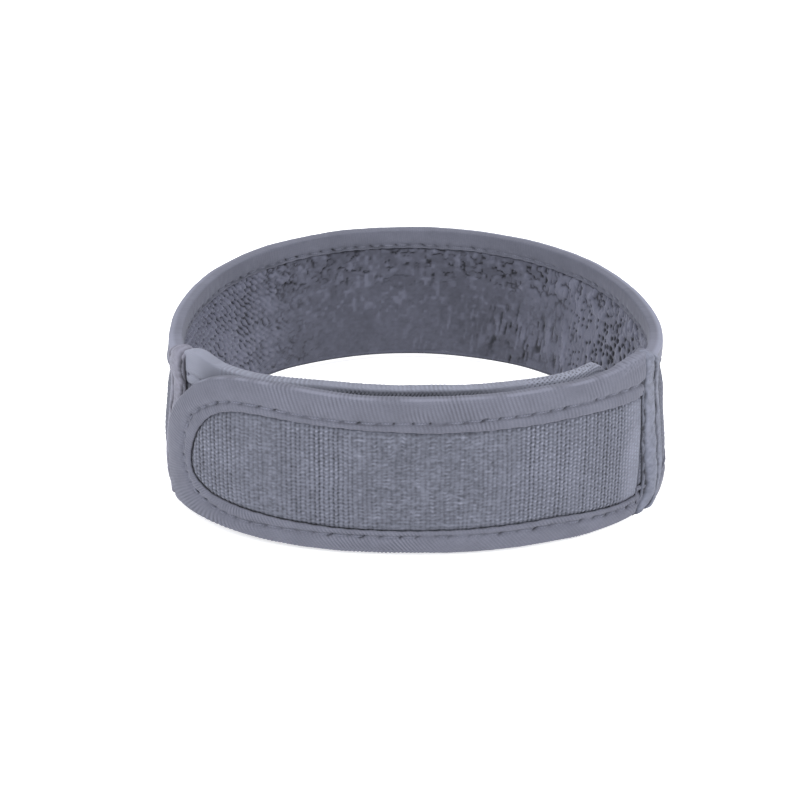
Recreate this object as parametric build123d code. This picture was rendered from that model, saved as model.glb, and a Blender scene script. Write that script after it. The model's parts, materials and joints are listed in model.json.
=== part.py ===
from build123d import *
import math
import os

# Adjustable fabric wrist strap for static control, standing on its lower edge.
# Millimetres. +Z is up, along the axis of the band. -Y faces the closure: the outer
# tab runs across the front over the underlay, and both are sewn to the back section
# at a taped joint on each side. +X is the side that the tab is sewn to.

# ---------------------------------------------------------------- driving sizes
# plan of the band: a superellipse, deeper behind than in front
HALF_WIDTH = 34.2
DEPTH_BACK = 41.6
DEPTH_FRONT = 25.6
POWER_BACK = 2.08
POWER_FRONT = 2.18

# heights
H_BACK = 21.6          # back section
H_TAB = 22.2           # outer tab
H_UNDER = 22.0         # underlay
Z_UNDER = 0.3          # the underlay's lower edge clears the surface

# layer thicknesses
TAPE = 0.3             # folded binding tape, each leg
SHELL = 0.4            # outer face knit
CORE = 0.5             # elastic core
LINER = 0.4            # conductive inner knit
T_BACK = 2 * TAPE + SHELL + CORE + LINER

TAB_FACE = 0.45
TAB_CORE = 0.35
TAB_HOOK = 0.4
T_TAB = 2 * TAPE + TAB_FACE + TAB_CORE + TAB_HOOK

UND_FACE = 0.4
UND_CORE = 0.35
UND_LINER = 0.35
T_UND = 2 * TAPE + UND_FACE + UND_CORE + UND_LINER

# widths of the binding tape's legs
W_TOP = 3.1            # back, top, outside
W_TOP_IN = 2.9         # back, top, inside
W_BOT = 3.4            # back, bottom, outside
W_TAB_TOP = 4.7
W_TAB_BOT = 3.0
W_UND = 3.1

# stations along the band, counted from the front centre towards -X
U_TAB_ROOT = -31.4     # the tab leaves the right joint
U_TAB_MID = -12.0
U_TAB_TIP = 10.3
U_TIP_END = 36.2
SEG_GAP = 0.3          # between two rigid lengths of the tab
U_UND_ROOT = 33.7      # the underlay leaves the left joint
U_UND_END = -25.7      # and ends free
U_RIGHT = -31.7        # ends of the back section
U_LEFT = 34.0
W_RTAPE = 3.5          # joint tapes, along the band
W_LTAPE = 4.0

# sewing thread
THREAD = 0.15
THREAD_H = 0.35
SEAM_IN = 2.5          # seam line below the edge of a binding

# ground snap, 4 mm male, on the outside of the back section
STUD_R = 1.95
STUD_L = 1.9
STUD_FLANGE_R = 4.6
STUD_FLANGE_T = 0.35
WASHER_R = 6.0
WASHER_T = 0.5
EYELET_R = 4.4
EYELET_T = 0.3
BARREL_R = 1.2
BARREL_BORE = 0.75
Z_SNAP = 10.8

HOOK_CLEAR = 0.35      # hook tips stay off the loop face

# the frame's origin is the centre of the plan's bounding box, on the resting surface
CENTRE_X = -0.047
CENTRE_Y = 8.482

# ---------------------------------------------------------------- plan curve
N_LOOP = 7200


def _raw_loop():
    pts = []
    for i in range(N_LOOP):
        t = -math.pi / 2 - 2 * math.pi * i / N_LOOP
        c, s = math.cos(t), math.sin(t)
        n, b = (POWER_FRONT, DEPTH_FRONT) if s < 0 else (POWER_BACK, DEPTH_BACK)
        pts.append(
            (
                math.copysign(HALF_WIDTH * abs(c) ** (2 / n), c),
                math.copysign(b * abs(s) ** (2 / n), s),
            )
        )
    return pts


def _resample(pts, m):
    u = [0.0]
    for i in range(len(pts)):
        a, b = pts[i], pts[(i + 1) % len(pts)]
        u.append(u[-1] + math.hypot(b[0] - a[0], b[1] - a[1]))
    length = u[-1]
    out = []
    j = 0
    for k in range(m):
        target = length * k / m
        while u[j + 1] < target:
            j += 1
        f = (target - u[j]) / (u[j + 1] - u[j])
        a, b = pts[j], pts[(j + 1) % len(pts)]
        out.append((a[0] + f * (b[0] - a[0]), a[1] + f * (b[1] - a[1])))
    return out, length


M_LOOP = 1200
_loop, LOOP = _resample(_raw_loop(), M_LOOP)


def _smooth(pts, half):
    m = len(pts)
    out = []
    for i in range(m):
        sx = sy = 0.0
        for d in range(-half, half + 1):
            sx += pts[(i + d) % m][0]
            sy += pts[(i + d) % m][1]
        out.append((sx / (2 * half + 1), sy / (2 * half + 1)))
    return out


for _ in range(3):
    _loop = _smooth(_loop, 4)


def _normal(i):
    a, b = _loop[(i - 1) % M_LOOP], _loop[(i + 1) % M_LOOP]
    dx, dy = b[0] - a[0], b[1] - a[1]
    d = math.hypot(dx, dy)
    return (-dy / d, dx / d)


_nrm = [_normal(i) for i in range(M_LOOP)]
if _nrm[0][1] > 0:
    _nrm = [(-x, -y) for x, y in _nrm]


def station(u):
    """Point on the plan curve and the outward normal there."""
    k = (u % LOOP) / LOOP * M_LOOP
    i = int(k) % M_LOOP
    f = k - int(k)
    j = (i + 1) % M_LOOP
    p = (_loop[i][0] * (1 - f) + _loop[j][0] * f, _loop[i][1] * (1 - f) + _loop[j][1] * f)
    n = (_nrm[i][0] * (1 - f) + _nrm[j][0] * f, _nrm[i][1] * (1 - f) + _nrm[j][1] * f)
    return p, n


def at(u, off):
    p, n = station(u)
    return (p[0] + off * n[0], p[1] + off * n[1])


def ramp(x, a, b):
    t = min(1.0, max(0.0, (x - a) / (b - a)))
    return t * t * (3 - 2 * t)


# offsets of each strip's outer face from the plan curve
def off_tab(u):
    return 0.9 + 0.43 * ramp(u, -35, -12) + 1.77 * ramp(u, 6, 40)


def off_under(u):
    return 0.7 - 2.8 * (1 - ramp(u, 10, 37.5))


def off_back(u):
    u = u % LOOP
    return 0.7 * (1 - ramp(u, 37.5, 62)) + 0.7 * ramp(u, LOOP - 60, LOOP - 35)


def less(f, d):
    return lambda u: f(u) - d


# ---------------------------------------------------------------- solids
def prism(u0, u1, outer, inner, z0, z1, step=2.0):
    """Upright strip between two offset curves."""
    n = max(5, int(round(abs(u1 - u0) / step)) + 1)
    us = [u0 + (u1 - u0) * i / (n - 1) for i in range(n)]
    po = [at(u, outer(u)) for u in us]
    pi = [at(u, inner(u)) for u in us]
    a, b = Spline(*po), Spline(*pi)
    c, d = Line(po[0], pi[0]), Line(po[-1], pi[-1])
    face = make_face([a, d, b, c])
    solid = extrude(face, amount=z1 - z0, dir=(0, 0, 1))
    return Pos(0, 0, z0) * solid


def join(parts):
    out = parts[0]
    for p in parts[1:]:
        out = out + p
    return out


def save(name, shapes):
    solids = []
    for s in shapes:
        solids += [Pos(-CENTRE_X, -CENTRE_Y, 0) * x for x in s.solids()]
    solids = [s for s in solids if s.volume > 1e-4]
    shape = solids[0] if len(solids) == 1 else Compound(children=solids)
    shape.label = name
    export_step(shape, "parts/" + name + ".step")
    print(name, len(solids), round(sum(s.volume for s in solids), 2), all(s.is_valid for s in solids))


def channel(u0, u1, f, thick, z_edge, up, w_out, w_in, step=2.0):
    """Tape folded over one edge of a strip; up is +1 at a top edge, -1 at a bottom edge."""
    lo, hi = (z_edge - TAPE, z_edge) if up > 0 else (z_edge, z_edge + TAPE)
    cap = prism(u0, u1, f, less(f, thick), lo, hi, step)
    parts = [cap]
    for w, a, b in ((w_out, 0.0, TAPE), (w_in, thick - TAPE, thick)):
        if w <= TAPE:
            continue
        z0, z1 = (z_edge - w, lo) if up > 0 else (hi, z_edge + w)
        parts.append(prism(u0, u1, less(f, a), less(f, b), z0, z1, step))
    return join(parts)


os.makedirs("parts", exist_ok=True)

# ================================================================ back section
uL, uR = U_LEFT, LOOP + U_RIGHT

core_out = less(off_back, TAPE + SHELL)
core_in = less(off_back, TAPE + SHELL + CORE)
shell = prism(uL, uR, less(off_back, TAPE), core_out, TAPE, H_BACK - TAPE)
core = prism(uL, uR, core_out, core_in, TAPE, H_BACK - TAPE)
liner = prism(uL, uR, core_in, less(off_back, TAPE + SHELL + CORE + LINER), TAPE, H_BACK - TAPE)

# ground snap at the back centre
y_face = at(LOOP / 2, -TAPE)[1]            # outer face of the shell
y_core = at(LOOP / 2, -TAPE - SHELL)[1]
y_in = at(LOOP / 2, -TAPE - SHELL - CORE)[1]


def rod(r, y0, y1):
    """Cylinder along Y at the snap's height."""
    return Pos(0, (y0 + y1) / 2, Z_SNAP) * Rot(90, 0, 0) * Cylinder(r, y1 - y0)


y_washer = y_face + WASHER_T
y_flange = y_washer + STUD_FLANGE_T
y_stud = y_flange + STUD_L

inside = prism(LOOP / 2 - 20, LOOP / 2 + 20, less(off_back, TAPE), less(off_back, 8.0), 0, H_BACK)
washer = rod(WASHER_R, y_face - 2.0, y_washer) - inside - rod(STUD_R - 0.35, y_face - 3, y_washer + 1)

# eyelet: flange let into the core, barrel out through shell and washer into the stud
flange_space = prism(LOOP / 2 - 12, LOOP / 2 + 12, less(off_back, TAPE + SHELL + CORE - EYELET_T), less(off_back, 4.0), 0, H_BACK)
eyelet_zone = prism(LOOP / 2 - 12, LOOP / 2 + 12, less(off_back, TAPE + SHELL + CORE - EYELET_T), core_in, 0, H_BACK)
eyelet_flange = eyelet_zone & rod(EYELET_R, y_in - 2, y_in + 3)
barrel = rod(BARREL_R, y_in + 0.12, y_flange + STUD_L - 0.55)
eyelet = (eyelet_flange + barrel) - rod(BARREL_BORE, y_in + 0.32, y_stud + 1)
core = core - rod(BARREL_R + 0.05, y_in - 2, y_core + 2) - (flange_space & rod(EYELET_R + 0.05, y_in - 3, y_core + 2))
shell = shell - rod(BARREL_R + 0.05, y_core - 2, y_face + 2)

# stud: rolled flange, waisted post with a rounded head
stud_prof = [
    (BARREL_R + 0.02, 0.0),
    (STUD_FLANGE_R - 0.15, 0.0),
    (STUD_FLANGE_R, 0.1),
    (STUD_FLANGE_R, STUD_FLANGE_T - 0.05),
    (STUD_FLANGE_R - 0.12, STUD_FLANGE_T + 0.05),
    (STUD_FLANGE_R - 0.5, STUD_FLANGE_T - 0.02),
    (STUD_R + 0.5, STUD_FLANGE_T - 0.02),
    (STUD_R + 0.12, STUD_FLANGE_T + 0.08),
    (STUD_R, STUD_FLANGE_T + 0.25),
    (STUD_R, STUD_FLANGE_T + STUD_L - 0.35),
    (STUD_R - 0.12, STUD_FLANGE_T + STUD_L - 0.12),
    (STUD_R - 0.4, STUD_FLANGE_T + STUD_L),
    (0.0, STUD_FLANGE_T + STUD_L),
    (0.0, STUD_FLANGE_T + STUD_L - 0.5),
    (BARREL_R + 0.02, STUD_FLANGE_T + STUD_L - 0.5),
]
with BuildPart() as stud_b:
    with BuildSketch(Plane.XZ) as sk:
        with BuildLine():
            Polyline(*stud_prof, close=True)
        make_face()
    revolve(axis=Axis.Z)
stud = Pos(0, y_washer, Z_SNAP) * Rot(-90, 0, 0) * stud_b.part

back_top = channel(uL, uR, off_back, T_BACK, H_BACK, +1, W_TOP, W_TOP_IN)
back_bot = join(
    [
        prism(uL, uR, off_back, less(off_back, T_BACK - TAPE), 0, TAPE),
        prism(uL, uR, off_back, less(off_back, TAPE), TAPE, W_BOT),
    ]
)

save("back_shell", [shell])
save("back_core", [core])
save("back_liner", [liner])
save("back_top_binding", [back_top])
save("back_bottom_binding", [back_bot])
save("snap_washer", [washer])
save("snap_eyelet", [eyelet])
save("snap_stud", [stud])


# seams: each row is one run of lockstitch thread lying on the tape.
# It stops short of the joint tapes.
def seam_row(u0, u1, f, z, side):
    a, b = (less(f, -THREAD), f) if side > 0 else (f, less(f, THREAD))
    return prism(u0, u1, a, b, z - THREAD_H / 2, z + THREAD_H / 2)


sL, sR = uL + W_LTAPE + 0.3, uR - W_RTAPE - 0.3
save(
    "back_top_seam",
    [
        seam_row(sL, sR, off_back, H_BACK - SEAM_IN, +1),
        seam_row(sL, sR, less(off_back, T_BACK), H_BACK - SEAM_IN + 0.1, -1),
    ],
)
save("back_bottom_seam", [seam_row(sL, sR, off_back, SEAM_IN, +1)])


# ================================================================ joint tapes
def joint_tape(u0, u1):
    """Tape folded over the top edge at a side joint, down both faces."""
    f = off_back
    return join(
        [
            prism(u0, u1, less(f, -TAPE), f, 0, H_BACK, 0.8),
            prism(u0, u1, less(f, -TAPE), less(f, T_BACK + TAPE), H_BACK, H_BACK + TAPE, 0.8),
            prism(u0, u1, less(f, T_BACK), less(f, T_BACK + TAPE), H_BACK - 6.0, H_BACK, 0.8),
        ]
    )


save("left_joint_tape", [joint_tape(uL, uL + W_LTAPE)])
save("right_joint_tape", [joint_tape(uR - W_RTAPE, uR)])


def joint_seam(u0, u1):
    f = less(off_back, -TAPE)
    return [
        prism(u, u + THREAD_H, less(f, -THREAD), f, 0.8, H_BACK - 0.8, 0.1)
        for u in (u0 + 0.35, u1 - 0.35 - THREAD_H)
    ]


save("left_joint_seam", joint_seam(uL, uL + W_LTAPE))
save("right_joint_seam", joint_seam(uR - W_RTAPE, uR))

# ================================================================ outer tab
D_FACE = TAPE + TAB_FACE
D_CORE = D_FACE + TAB_CORE
D_HOOK = D_CORE + TAB_HOOK


def hook_tip(u):
    return off_under(u) + HOOK_CLEAR


def tab_length(name, u0, u1, hooked):
    face = prism(u0, u1, less(off_tab, TAPE), less(off_tab, D_FACE), TAPE, H_TAB - TAPE)
    mid = prism(u0, u1, less(off_tab, D_FACE), less(off_tab, D_CORE), TAPE, H_TAB - TAPE)
    inner = prism(u0, u1, less(off_tab, D_CORE), less(off_tab, D_HOOK), TAPE, H_TAB - TAPE)
    if hooked:
        pile = prism(u0 + 0.4, u1 - 0.4, less(off_tab, D_HOOK - 0.1), hook_tip, W_TAB_BOT + 0.5, H_TAB - W_TAB_TOP - 0.5)
        inner = inner + pile
    save(name + "_face", [face])
    save(name + "_core", [mid])
    save(name + ("_hook" if hooked else "_lining"), [inner])
    save(
        name + "_binding",
        [
            channel(u0, u1, off_tab, T_TAB, H_TAB, +1, W_TAB_TOP, W_TAB_TOP),
            channel(u0, u1, off_tab, T_TAB, 0.0, -1, W_TAB_BOT, W_TAB_BOT),
        ],
    )
    save(
        name + "_seam",
        [
            seam_row(u0 + 0.2, u1 - 0.2, off_tab, H_TAB - 3.3, +1),
            seam_row(u0 + 0.2, u1 - 0.2, off_tab, 2.2, +1),
            seam_row(u0 + 0.2, u1 - 0.2, less(off_tab, T_TAB), H_TAB - 3.3, -1),
            seam_row(u0 + 0.2, u1 - 0.2, less(off_tab, T_TAB), 2.2, -1),
        ],
    )


tab_length("tab_root", U_TAB_ROOT, U_TAB_MID - SEG_GAP, False)
tab_length("tab_mid", U_TAB_MID, U_TAB_TIP - SEG_GAP, True)

# rounded tip: its outline in the flat, station against height
TIP_OUTLINE = [
    (5.0, 0.06), (12.0, 0.08), (18.0, 0.32), (24.0, 0.7), (28.0, 1.1), (31.3, 1.75), (33.7, 2.8),
    (35.2, 4.5), (36.0, 7.2), (U_TIP_END, 10.0), (35.95, 12.6), (35.2, 14.9), (33.9, 16.9), (32.2, 18.7),
    (30.3, 20.2), (28.3, 21.3), (26.0, 22.0), (23.5, 22.3), (20.0, 22.3), (12.0, H_TAB), (5.0, H_TAB),
]
# inner rim of the tape round the tip
RIM_OUTLINE = [
    (5.0, W_TAB_BOT), (12.0, 3.05), (18.5, 3.5), (23.0, 4.0), (26.5, 4.6), (29.2, 5.6), (30.9, 7.1),
    (31.6, 9.0), (31.3, 11.2), (30.5, 13.2), (29.1, 15.1), (27.2, 16.7), (25.0, 17.6), (22.0, 17.9),
    (16.0, 17.8), (5.0, H_TAB - W_TAB_TOP),
]
SEAM_OUTLINE = [
    (5.0, 2.2), (11.0, 2.2), (19.0, 2.4), (24.0, 2.7), (27.6, 3.2), (30.2, 4.1), (31.8, 5.7), (32.6, 8.0),
    (32.6, 10.6), (32.1, 13.0), (31.0, 15.4), (29.2, 17.2), (26.8, 18.5), (24.0, 19.1), (20.0, 19.2), (12.0, H_TAB - 3.4), (5.0, H_TAB - 3.3),
]


def outline_solid(pts, off, u_dir, reach=16.0, inset=0.0):
    """Block cut to an outline drawn on a strip and driven through it along its normal."""
    (px, py), (nx, ny) = station(u_dir)
    tx, ty = -ny, nx
    sx = 1.0
    if (at(u_dir + 1, 0)[0] - px) * tx + (at(u_dir + 1, 0)[1] - py) * ty < 0:
        sx = -1.0
    flat = []
    for u, z in pts:
        x, y = at(u, off(u))
        flat.append((sx * ((x - px) * tx + (y - py) * ty), z))
    if inset:
        # move each point in along the outline's own normal
        moved = []
        m = len(flat)
        for i in range(m):
            a, b = flat[max(0, i - 1)], flat[min(m - 1, i + 1)]
            dx, dz = b[0] - a[0], b[1] - a[1]
            d = math.hypot(dx, dz)
            moved.append((flat[i][0] - dz / d * inset, flat[i][1] + dx / d * inset))
        flat = moved
    pl = Plane(origin=(px, py, 0), x_dir=(sx * tx, sx * ty, 0), z_dir=Vector(sx * tx, sx * ty, 0).cross(Vector(0, 0, 1)))
    curve = Spline(*flat)
    close = Line(flat[-1], flat[0])
    face = pl * make_face([curve, close])
    return extrude(face, amount=reach, both=True)


U_DIR_TIP = 25.0
mid_tab = less(off_tab, T_TAB / 2)
tip_outer = outline_solid(TIP_OUTLINE, mid_tab, U_DIR_TIP)
tip_layer = outline_solid(TIP_OUTLINE, mid_tab, U_DIR_TIP, inset=TAPE)
tip_window = outline_solid(RIM_OUTLINE, off_tab, U_DIR_TIP)
tip_window_in = outline_solid(RIM_OUTLINE, less(off_tab, T_TAB), U_DIR_TIP)
tip_seam_a = outline_solid(SEAM_OUTLINE, off_tab, U_DIR_TIP, inset=-THREAD_H / 2)
tip_seam_b = outline_solid(SEAM_OUTLINE, off_tab, U_DIR_TIP, inset=THREAD_H / 2)

u0, u1 = U_TAB_TIP, U_TIP_END + 2.5
ZL, ZH = -1.0, H_TAB + 2.0
tip_block = prism(u0, u1, off_tab, less(off_tab, T_TAB), ZL, ZH) & tip_outer
tip_mid = prism(u0, u1, less(off_tab, TAPE), less(off_tab, D_HOOK), ZL, ZH) & tip_layer
tip_face = prism(u0, u1, less(off_tab, TAPE), less(off_tab, D_FACE), ZL, ZH) & tip_layer
tip_core = prism(u0, u1, less(off_tab, D_FACE), less(off_tab, D_CORE), ZL, ZH) & tip_layer
tip_hook = prism(u0, u1, less(off_tab, D_CORE), less(off_tab, D_HOOK), ZL, ZH) & tip_layer
win_out = prism(u0 - 1, u1, less(off_tab, -1.0), less(off_tab, TAPE + 0.1), ZL, ZH) & tip_window
win_in = prism(u0 - 1, u1, less(off_tab, D_HOOK - 0.1), less(off_tab, T_TAB + 1.0), ZL, ZH) & tip_window_in
tip_binding = tip_block - tip_mid - win_out - win_in
pile = prism(u0 + 0.4, 27.0, less(off_tab, D_HOOK - 0.1), hook_tip, 5.2, 16.6)
tip_hook = tip_hook + pile
save("tab_tip_face", [tip_face])
save("tab_tip_core", [tip_core])
save("tab_tip_hook", [tip_hook])
save("tab_tip_binding", [tip_binding])
tip_thread = prism(u0 + 0.2, u1, less(off_tab, -THREAD), off_tab, ZL, ZH) & (tip_seam_a - tip_seam_b)
save("tab_tip_seam", [tip_thread])

# ================================================================ underlay
E_FACE = TAPE + UND_FACE
E_CORE = E_FACE + UND_CORE
E_LINER = E_CORE + UND_LINER

UND_OUTLINE = [
    (-6.0, Z_UNDER), (-12.0, Z_UNDER), (-17.0, Z_UNDER), (-20.5, 0.55), (-23.2, 1.6), (-24.9, 3.6), (-25.6, 7.0), (U_UND_END, 11.0),
    (-25.6, 15.2), (-25.0, 18.6), (-23.5, 20.7), (-21.0, 21.7), (-17.0, H_UNDER), (-12.0, H_UNDER), (-6.0, H_UNDER),
]
UND_RIM = [
    (-6.0, Z_UNDER + W_UND), (-12.0, Z_UNDER + W_UND), (-17.0, 3.5), (-20.4, 4.4), (-22.1, 6.6), (-22.6, 11.0),
    (-22.1, 15.6), (-20.4, 17.9), (-17.0, 18.8), (-12.0, H_UNDER - W_UND), (-6.0, H_UNDER - W_UND),
]
UND_SEAM = [
    (-6.0, 2.7), (-12.0, 2.7), (-17.0, 2.8), (-21.1, 3.6), (-23.0, 6.2), (-23.5, 11.0), (-23.0, 16.0), (-21.1, 18.6),
    (-17.0, 19.4), (-12.0, 19.5), (-6.0, 19.5),
]
U_DIR_UND = -19.0
U_SPLIT = -11.0


def und_cut(pts, off, inset=0.0):
    return outline_solid(pts, off, U_DIR_UND, inset=inset)


def und_strip(f_out, f_in, cut):
    """One strip from the left joint to the rounded free end."""
    whole = prism(U_UND_END - 2.5, U_UND_ROOT, f_out, f_in, ZL, ZH)
    return whole & cut


def long_cut(z0, z1):
    """Keeps the straight part of the strip between two heights."""
    return prism(U_SPLIT, U_UND_ROOT + 2, less(off_under, -3.0), less(off_under, 6.0), z0, z1)


mid_und = less(off_under, T_UND / 2)
end_outer = und_cut(UND_OUTLINE, mid_und)
end_layer = und_cut(UND_OUTLINE, mid_und, inset=-TAPE)
end_window = und_cut(UND_RIM, off_under)
end_window_in = und_cut(UND_RIM, less(off_under, T_UND))
end_seam_a = und_cut(UND_SEAM, off_under, inset=THREAD_H / 2)
end_seam_b = und_cut(UND_SEAM, off_under, inset=-THREAD_H / 2)


def und_piece(f_out, f_in, end, z0, z1):
    """Straight length and rounded end made on one pair of curves, then joined."""
    whole = prism(U_UND_END - 2.5, U_UND_ROOT, f_out, f_in, z0, z1)
    tail = prism(U_UND_END - 4.0, U_SPLIT, less(f_out, -2.0), less(f_in, 2.0), ZL - 1, ZH + 1)
    return whole - (tail - end)


und_block = und_piece(off_under, less(off_under, T_UND), end_outer, Z_UNDER, H_UNDER)
und_mid = und_piece(less(off_under, TAPE), less(off_under, E_LINER), end_layer, Z_UNDER + TAPE, H_UNDER - TAPE)
und_face = und_piece(less(off_under, TAPE), less(off_under, E_FACE), end_layer, Z_UNDER + TAPE, H_UNDER - TAPE)
und_core = und_piece(less(off_under, E_FACE), less(off_under, E_CORE), end_layer, Z_UNDER + TAPE, H_UNDER - TAPE)
und_liner = und_piece(less(off_under, E_CORE), less(off_under, E_LINER), end_layer, Z_UNDER + TAPE, H_UNDER - TAPE)


def und_window(f_out, f_in, end):
    whole = prism(U_UND_END - 2.5, U_UND_ROOT + 1, f_out, f_in, Z_UNDER + W_UND, H_UNDER - W_UND)
    tail = prism(U_UND_END - 4.0, U_SPLIT, less(f_out, -2.0), less(f_in, 2.0), ZL - 1, ZH + 1)
    return whole - (tail - end)


w_out = und_window(less(off_under, -1.0), less(off_under, TAPE + 0.1), end_window)
w_in = und_window(less(off_under, E_LINER - 0.1), less(off_under, T_UND + 1.0), end_window_in)
und_binding = und_block - und_mid - w_out - w_in
save("underlay_loop_face", [und_face])
save("underlay_core", [und_core])
save("underlay_liner", [und_liner])
save("underlay_binding", [und_binding])
und_tail_seam = prism(U_UND_END - 2.5, U_SPLIT - 0.05, less(off_under, -THREAD), off_under, ZL, ZH) & (end_seam_a - end_seam_b)
save(
    "underlay_seam",
    [
        seam_row(U_SPLIT + 0.05, U_UND_ROOT - 0.3, off_under, 2.7, +1),
        seam_row(U_SPLIT + 0.05, U_UND_ROOT - 0.3, off_under, 19.5, +1),
        und_tail_seam,
    ],
)

# hinge lines and interfaces, for the record
for label, u, off in (
    ("tab_root hinge", U_TAB_ROOT, off_tab(U_TAB_ROOT)),
    ("tab_mid hinge", U_TAB_MID - SEG_GAP / 2, off_tab(U_TAB_MID)),
    ("tab_tip hinge", U_TAB_TIP - SEG_GAP / 2, off_tab(U_TAB_TIP)),
    ("underlay hinge", U_UND_ROOT, off_under(U_UND_ROOT) - T_UND),
):
    x, y = at(u, off)
    print(label, round(x - CENTRE_X, 4), round(y - CENTRE_Y, 4))
print("snap", [round(v - CENTRE_Y, 4) for v in (y_face, y_washer, y_flange, y_stud)], "x", round(-CENTRE_X, 4), "loop", LOOP)
print("inner length", sum(math.dist(at(u * LOOP / 720, -T_BACK), at((u + 1) * LOOP / 720, -T_BACK)) for u in range(720)))
print("lower edge at the back", -CENTRE_X, round(at(LOOP / 2, -0.9)[1] - CENTRE_Y, 4))
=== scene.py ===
import json
import math

import bpy
import numpy as np
from mathutils import Matrix, Vector

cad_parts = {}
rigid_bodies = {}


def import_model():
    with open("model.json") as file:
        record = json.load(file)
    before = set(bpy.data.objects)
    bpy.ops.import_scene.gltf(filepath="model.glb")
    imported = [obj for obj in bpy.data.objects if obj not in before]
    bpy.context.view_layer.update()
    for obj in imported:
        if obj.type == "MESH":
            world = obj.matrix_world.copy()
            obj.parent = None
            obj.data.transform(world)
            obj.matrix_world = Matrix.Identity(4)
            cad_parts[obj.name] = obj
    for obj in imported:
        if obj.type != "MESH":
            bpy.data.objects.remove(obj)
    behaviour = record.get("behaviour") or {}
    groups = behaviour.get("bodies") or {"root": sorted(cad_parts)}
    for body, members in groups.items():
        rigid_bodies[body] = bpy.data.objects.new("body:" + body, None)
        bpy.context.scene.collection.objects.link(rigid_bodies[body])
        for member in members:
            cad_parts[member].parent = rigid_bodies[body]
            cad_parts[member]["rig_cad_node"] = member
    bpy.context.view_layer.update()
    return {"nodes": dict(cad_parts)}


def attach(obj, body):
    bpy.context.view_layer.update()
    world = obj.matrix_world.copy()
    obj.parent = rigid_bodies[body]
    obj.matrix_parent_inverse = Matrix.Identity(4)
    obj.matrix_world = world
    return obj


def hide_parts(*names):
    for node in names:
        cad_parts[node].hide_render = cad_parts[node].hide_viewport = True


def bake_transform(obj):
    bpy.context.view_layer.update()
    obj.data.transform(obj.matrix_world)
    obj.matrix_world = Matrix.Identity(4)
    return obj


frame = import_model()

MM = 0.001
TAU = 2 * math.pi

# ================================================================ plan curve
# the same curve and offsets that the CAD's strips are swept along, in millimetres
HALF_WIDTH, DEPTH_BACK, DEPTH_FRONT = 34.2, 41.6, 25.6
POWER_BACK, POWER_FRONT = 2.08, 2.18
CENTRE_X, CENTRE_Y = -0.047, 8.482
T_BACK, T_TAB, T_UND = 1.9, 1.8, 1.7
H_BACK, H_TAB, H_UNDER = 21.6, 22.2, 22.0
U_LEFT, U_RIGHT = 34.0, -31.7


def plan_curve():
    n = 7200
    t = -math.pi / 2 - TAU * np.arange(n) / n
    c, s = np.cos(t), np.sin(t)
    front = s < 0
    power = np.where(front, POWER_FRONT, POWER_BACK)
    depth = np.where(front, DEPTH_FRONT, DEPTH_BACK)
    x = np.copysign(HALF_WIDTH * np.abs(c) ** (2 / power), c)
    y = np.copysign(depth * np.abs(s) ** (2 / power), s)
    xc, yc = np.append(x, x[0]), np.append(y, y[0])
    u = np.concatenate([[0], np.cumsum(np.hypot(np.diff(xc), np.diff(yc)))])
    m = 1200
    at = u[-1] * np.arange(m) / m
    x, y = np.interp(at, u, xc), np.interp(at, u, yc)
    for _ in range(3):
        x = sum(np.roll(x, d) for d in range(-4, 5)) / 9
        y = sum(np.roll(y, d) for d in range(-4, 5)) / 9
    dx, dy = np.roll(x, -1) - np.roll(x, 1), np.roll(y, -1) - np.roll(y, 1)
    d = np.hypot(dx, dy)
    nx, ny = -dy / d, dx / d
    if ny[0] > 0:
        nx, ny = -nx, -ny
    grid = np.append(at, u[-1])
    return u[-1], grid, [np.append(v, v[0]) for v in (x, y, nx, ny)]


LOOP, _grid, _curve = plan_curve()


def curve(u):
    u = np.mod(u, LOOP)
    return [np.interp(u, _grid, v) for v in _curve]


def place(u, off, z):
    """Points at stations u, offset outward from the plan curve, at height z: millimetres in the row frame."""
    x, y, nx, ny = curve(u)
    return np.stack(np.broadcast_arrays(x + off * nx - CENTRE_X, y + off * ny - CENTRE_Y, z), -1)


def outward(u):
    _, _, nx, ny = curve(u)
    return np.stack([nx, ny, np.zeros_like(nx)], -1)


def ramp(x, a, b):
    t = np.clip((np.asarray(x, float) - a) / (b - a), 0, 1)
    return t * t * (3 - 2 * t)


def off_tab(u):
    return 0.9 + 0.43 * ramp(u, -35, -12) + 1.77 * ramp(u, 6, 40)


def off_tab_sewn(u):
    """The tab's root dives under the joint tape."""
    return off_tab(u) - 0.45 * (1 - ramp(u, -33.2, -31.2))


def off_under(u):
    return 0.7 - 2.8 * (1 - ramp(u, 10, 37.5))


def off_back(u):
    u = np.mod(u, LOOP)
    return 0.7 * (1 - ramp(u, 37.5, 62)) + 0.7 * ramp(u, LOOP - 60, LOOP - 35)


# ================================================================ number helpers
def hermite(xs, ys, x):
    """Smooth curve through points, with the slope at each from its neighbours."""
    xs, ys = np.asarray(xs, float), np.asarray(ys, float)
    m = np.empty_like(ys)
    m[1:-1] = (ys[2:] - ys[:-2]) / (xs[2:] - xs[:-2])
    m[0] = (ys[1] - ys[0]) / (xs[1] - xs[0])
    m[-1] = (ys[-1] - ys[-2]) / (xs[-1] - xs[-2])
    i = np.clip(np.searchsorted(xs, x) - 1, 0, len(xs) - 2)
    h = xs[i + 1] - xs[i]
    t = np.clip((x - xs[i]) / h, 0, 1)
    return (
        (2 * t**3 - 3 * t**2 + 1) * ys[i]
        + (t**3 - 2 * t**2 + t) * h * m[i]
        + (3 * t**2 - 2 * t**3) * ys[i + 1]
        + (t**3 - t**2) * h * m[i + 1]
    )


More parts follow.
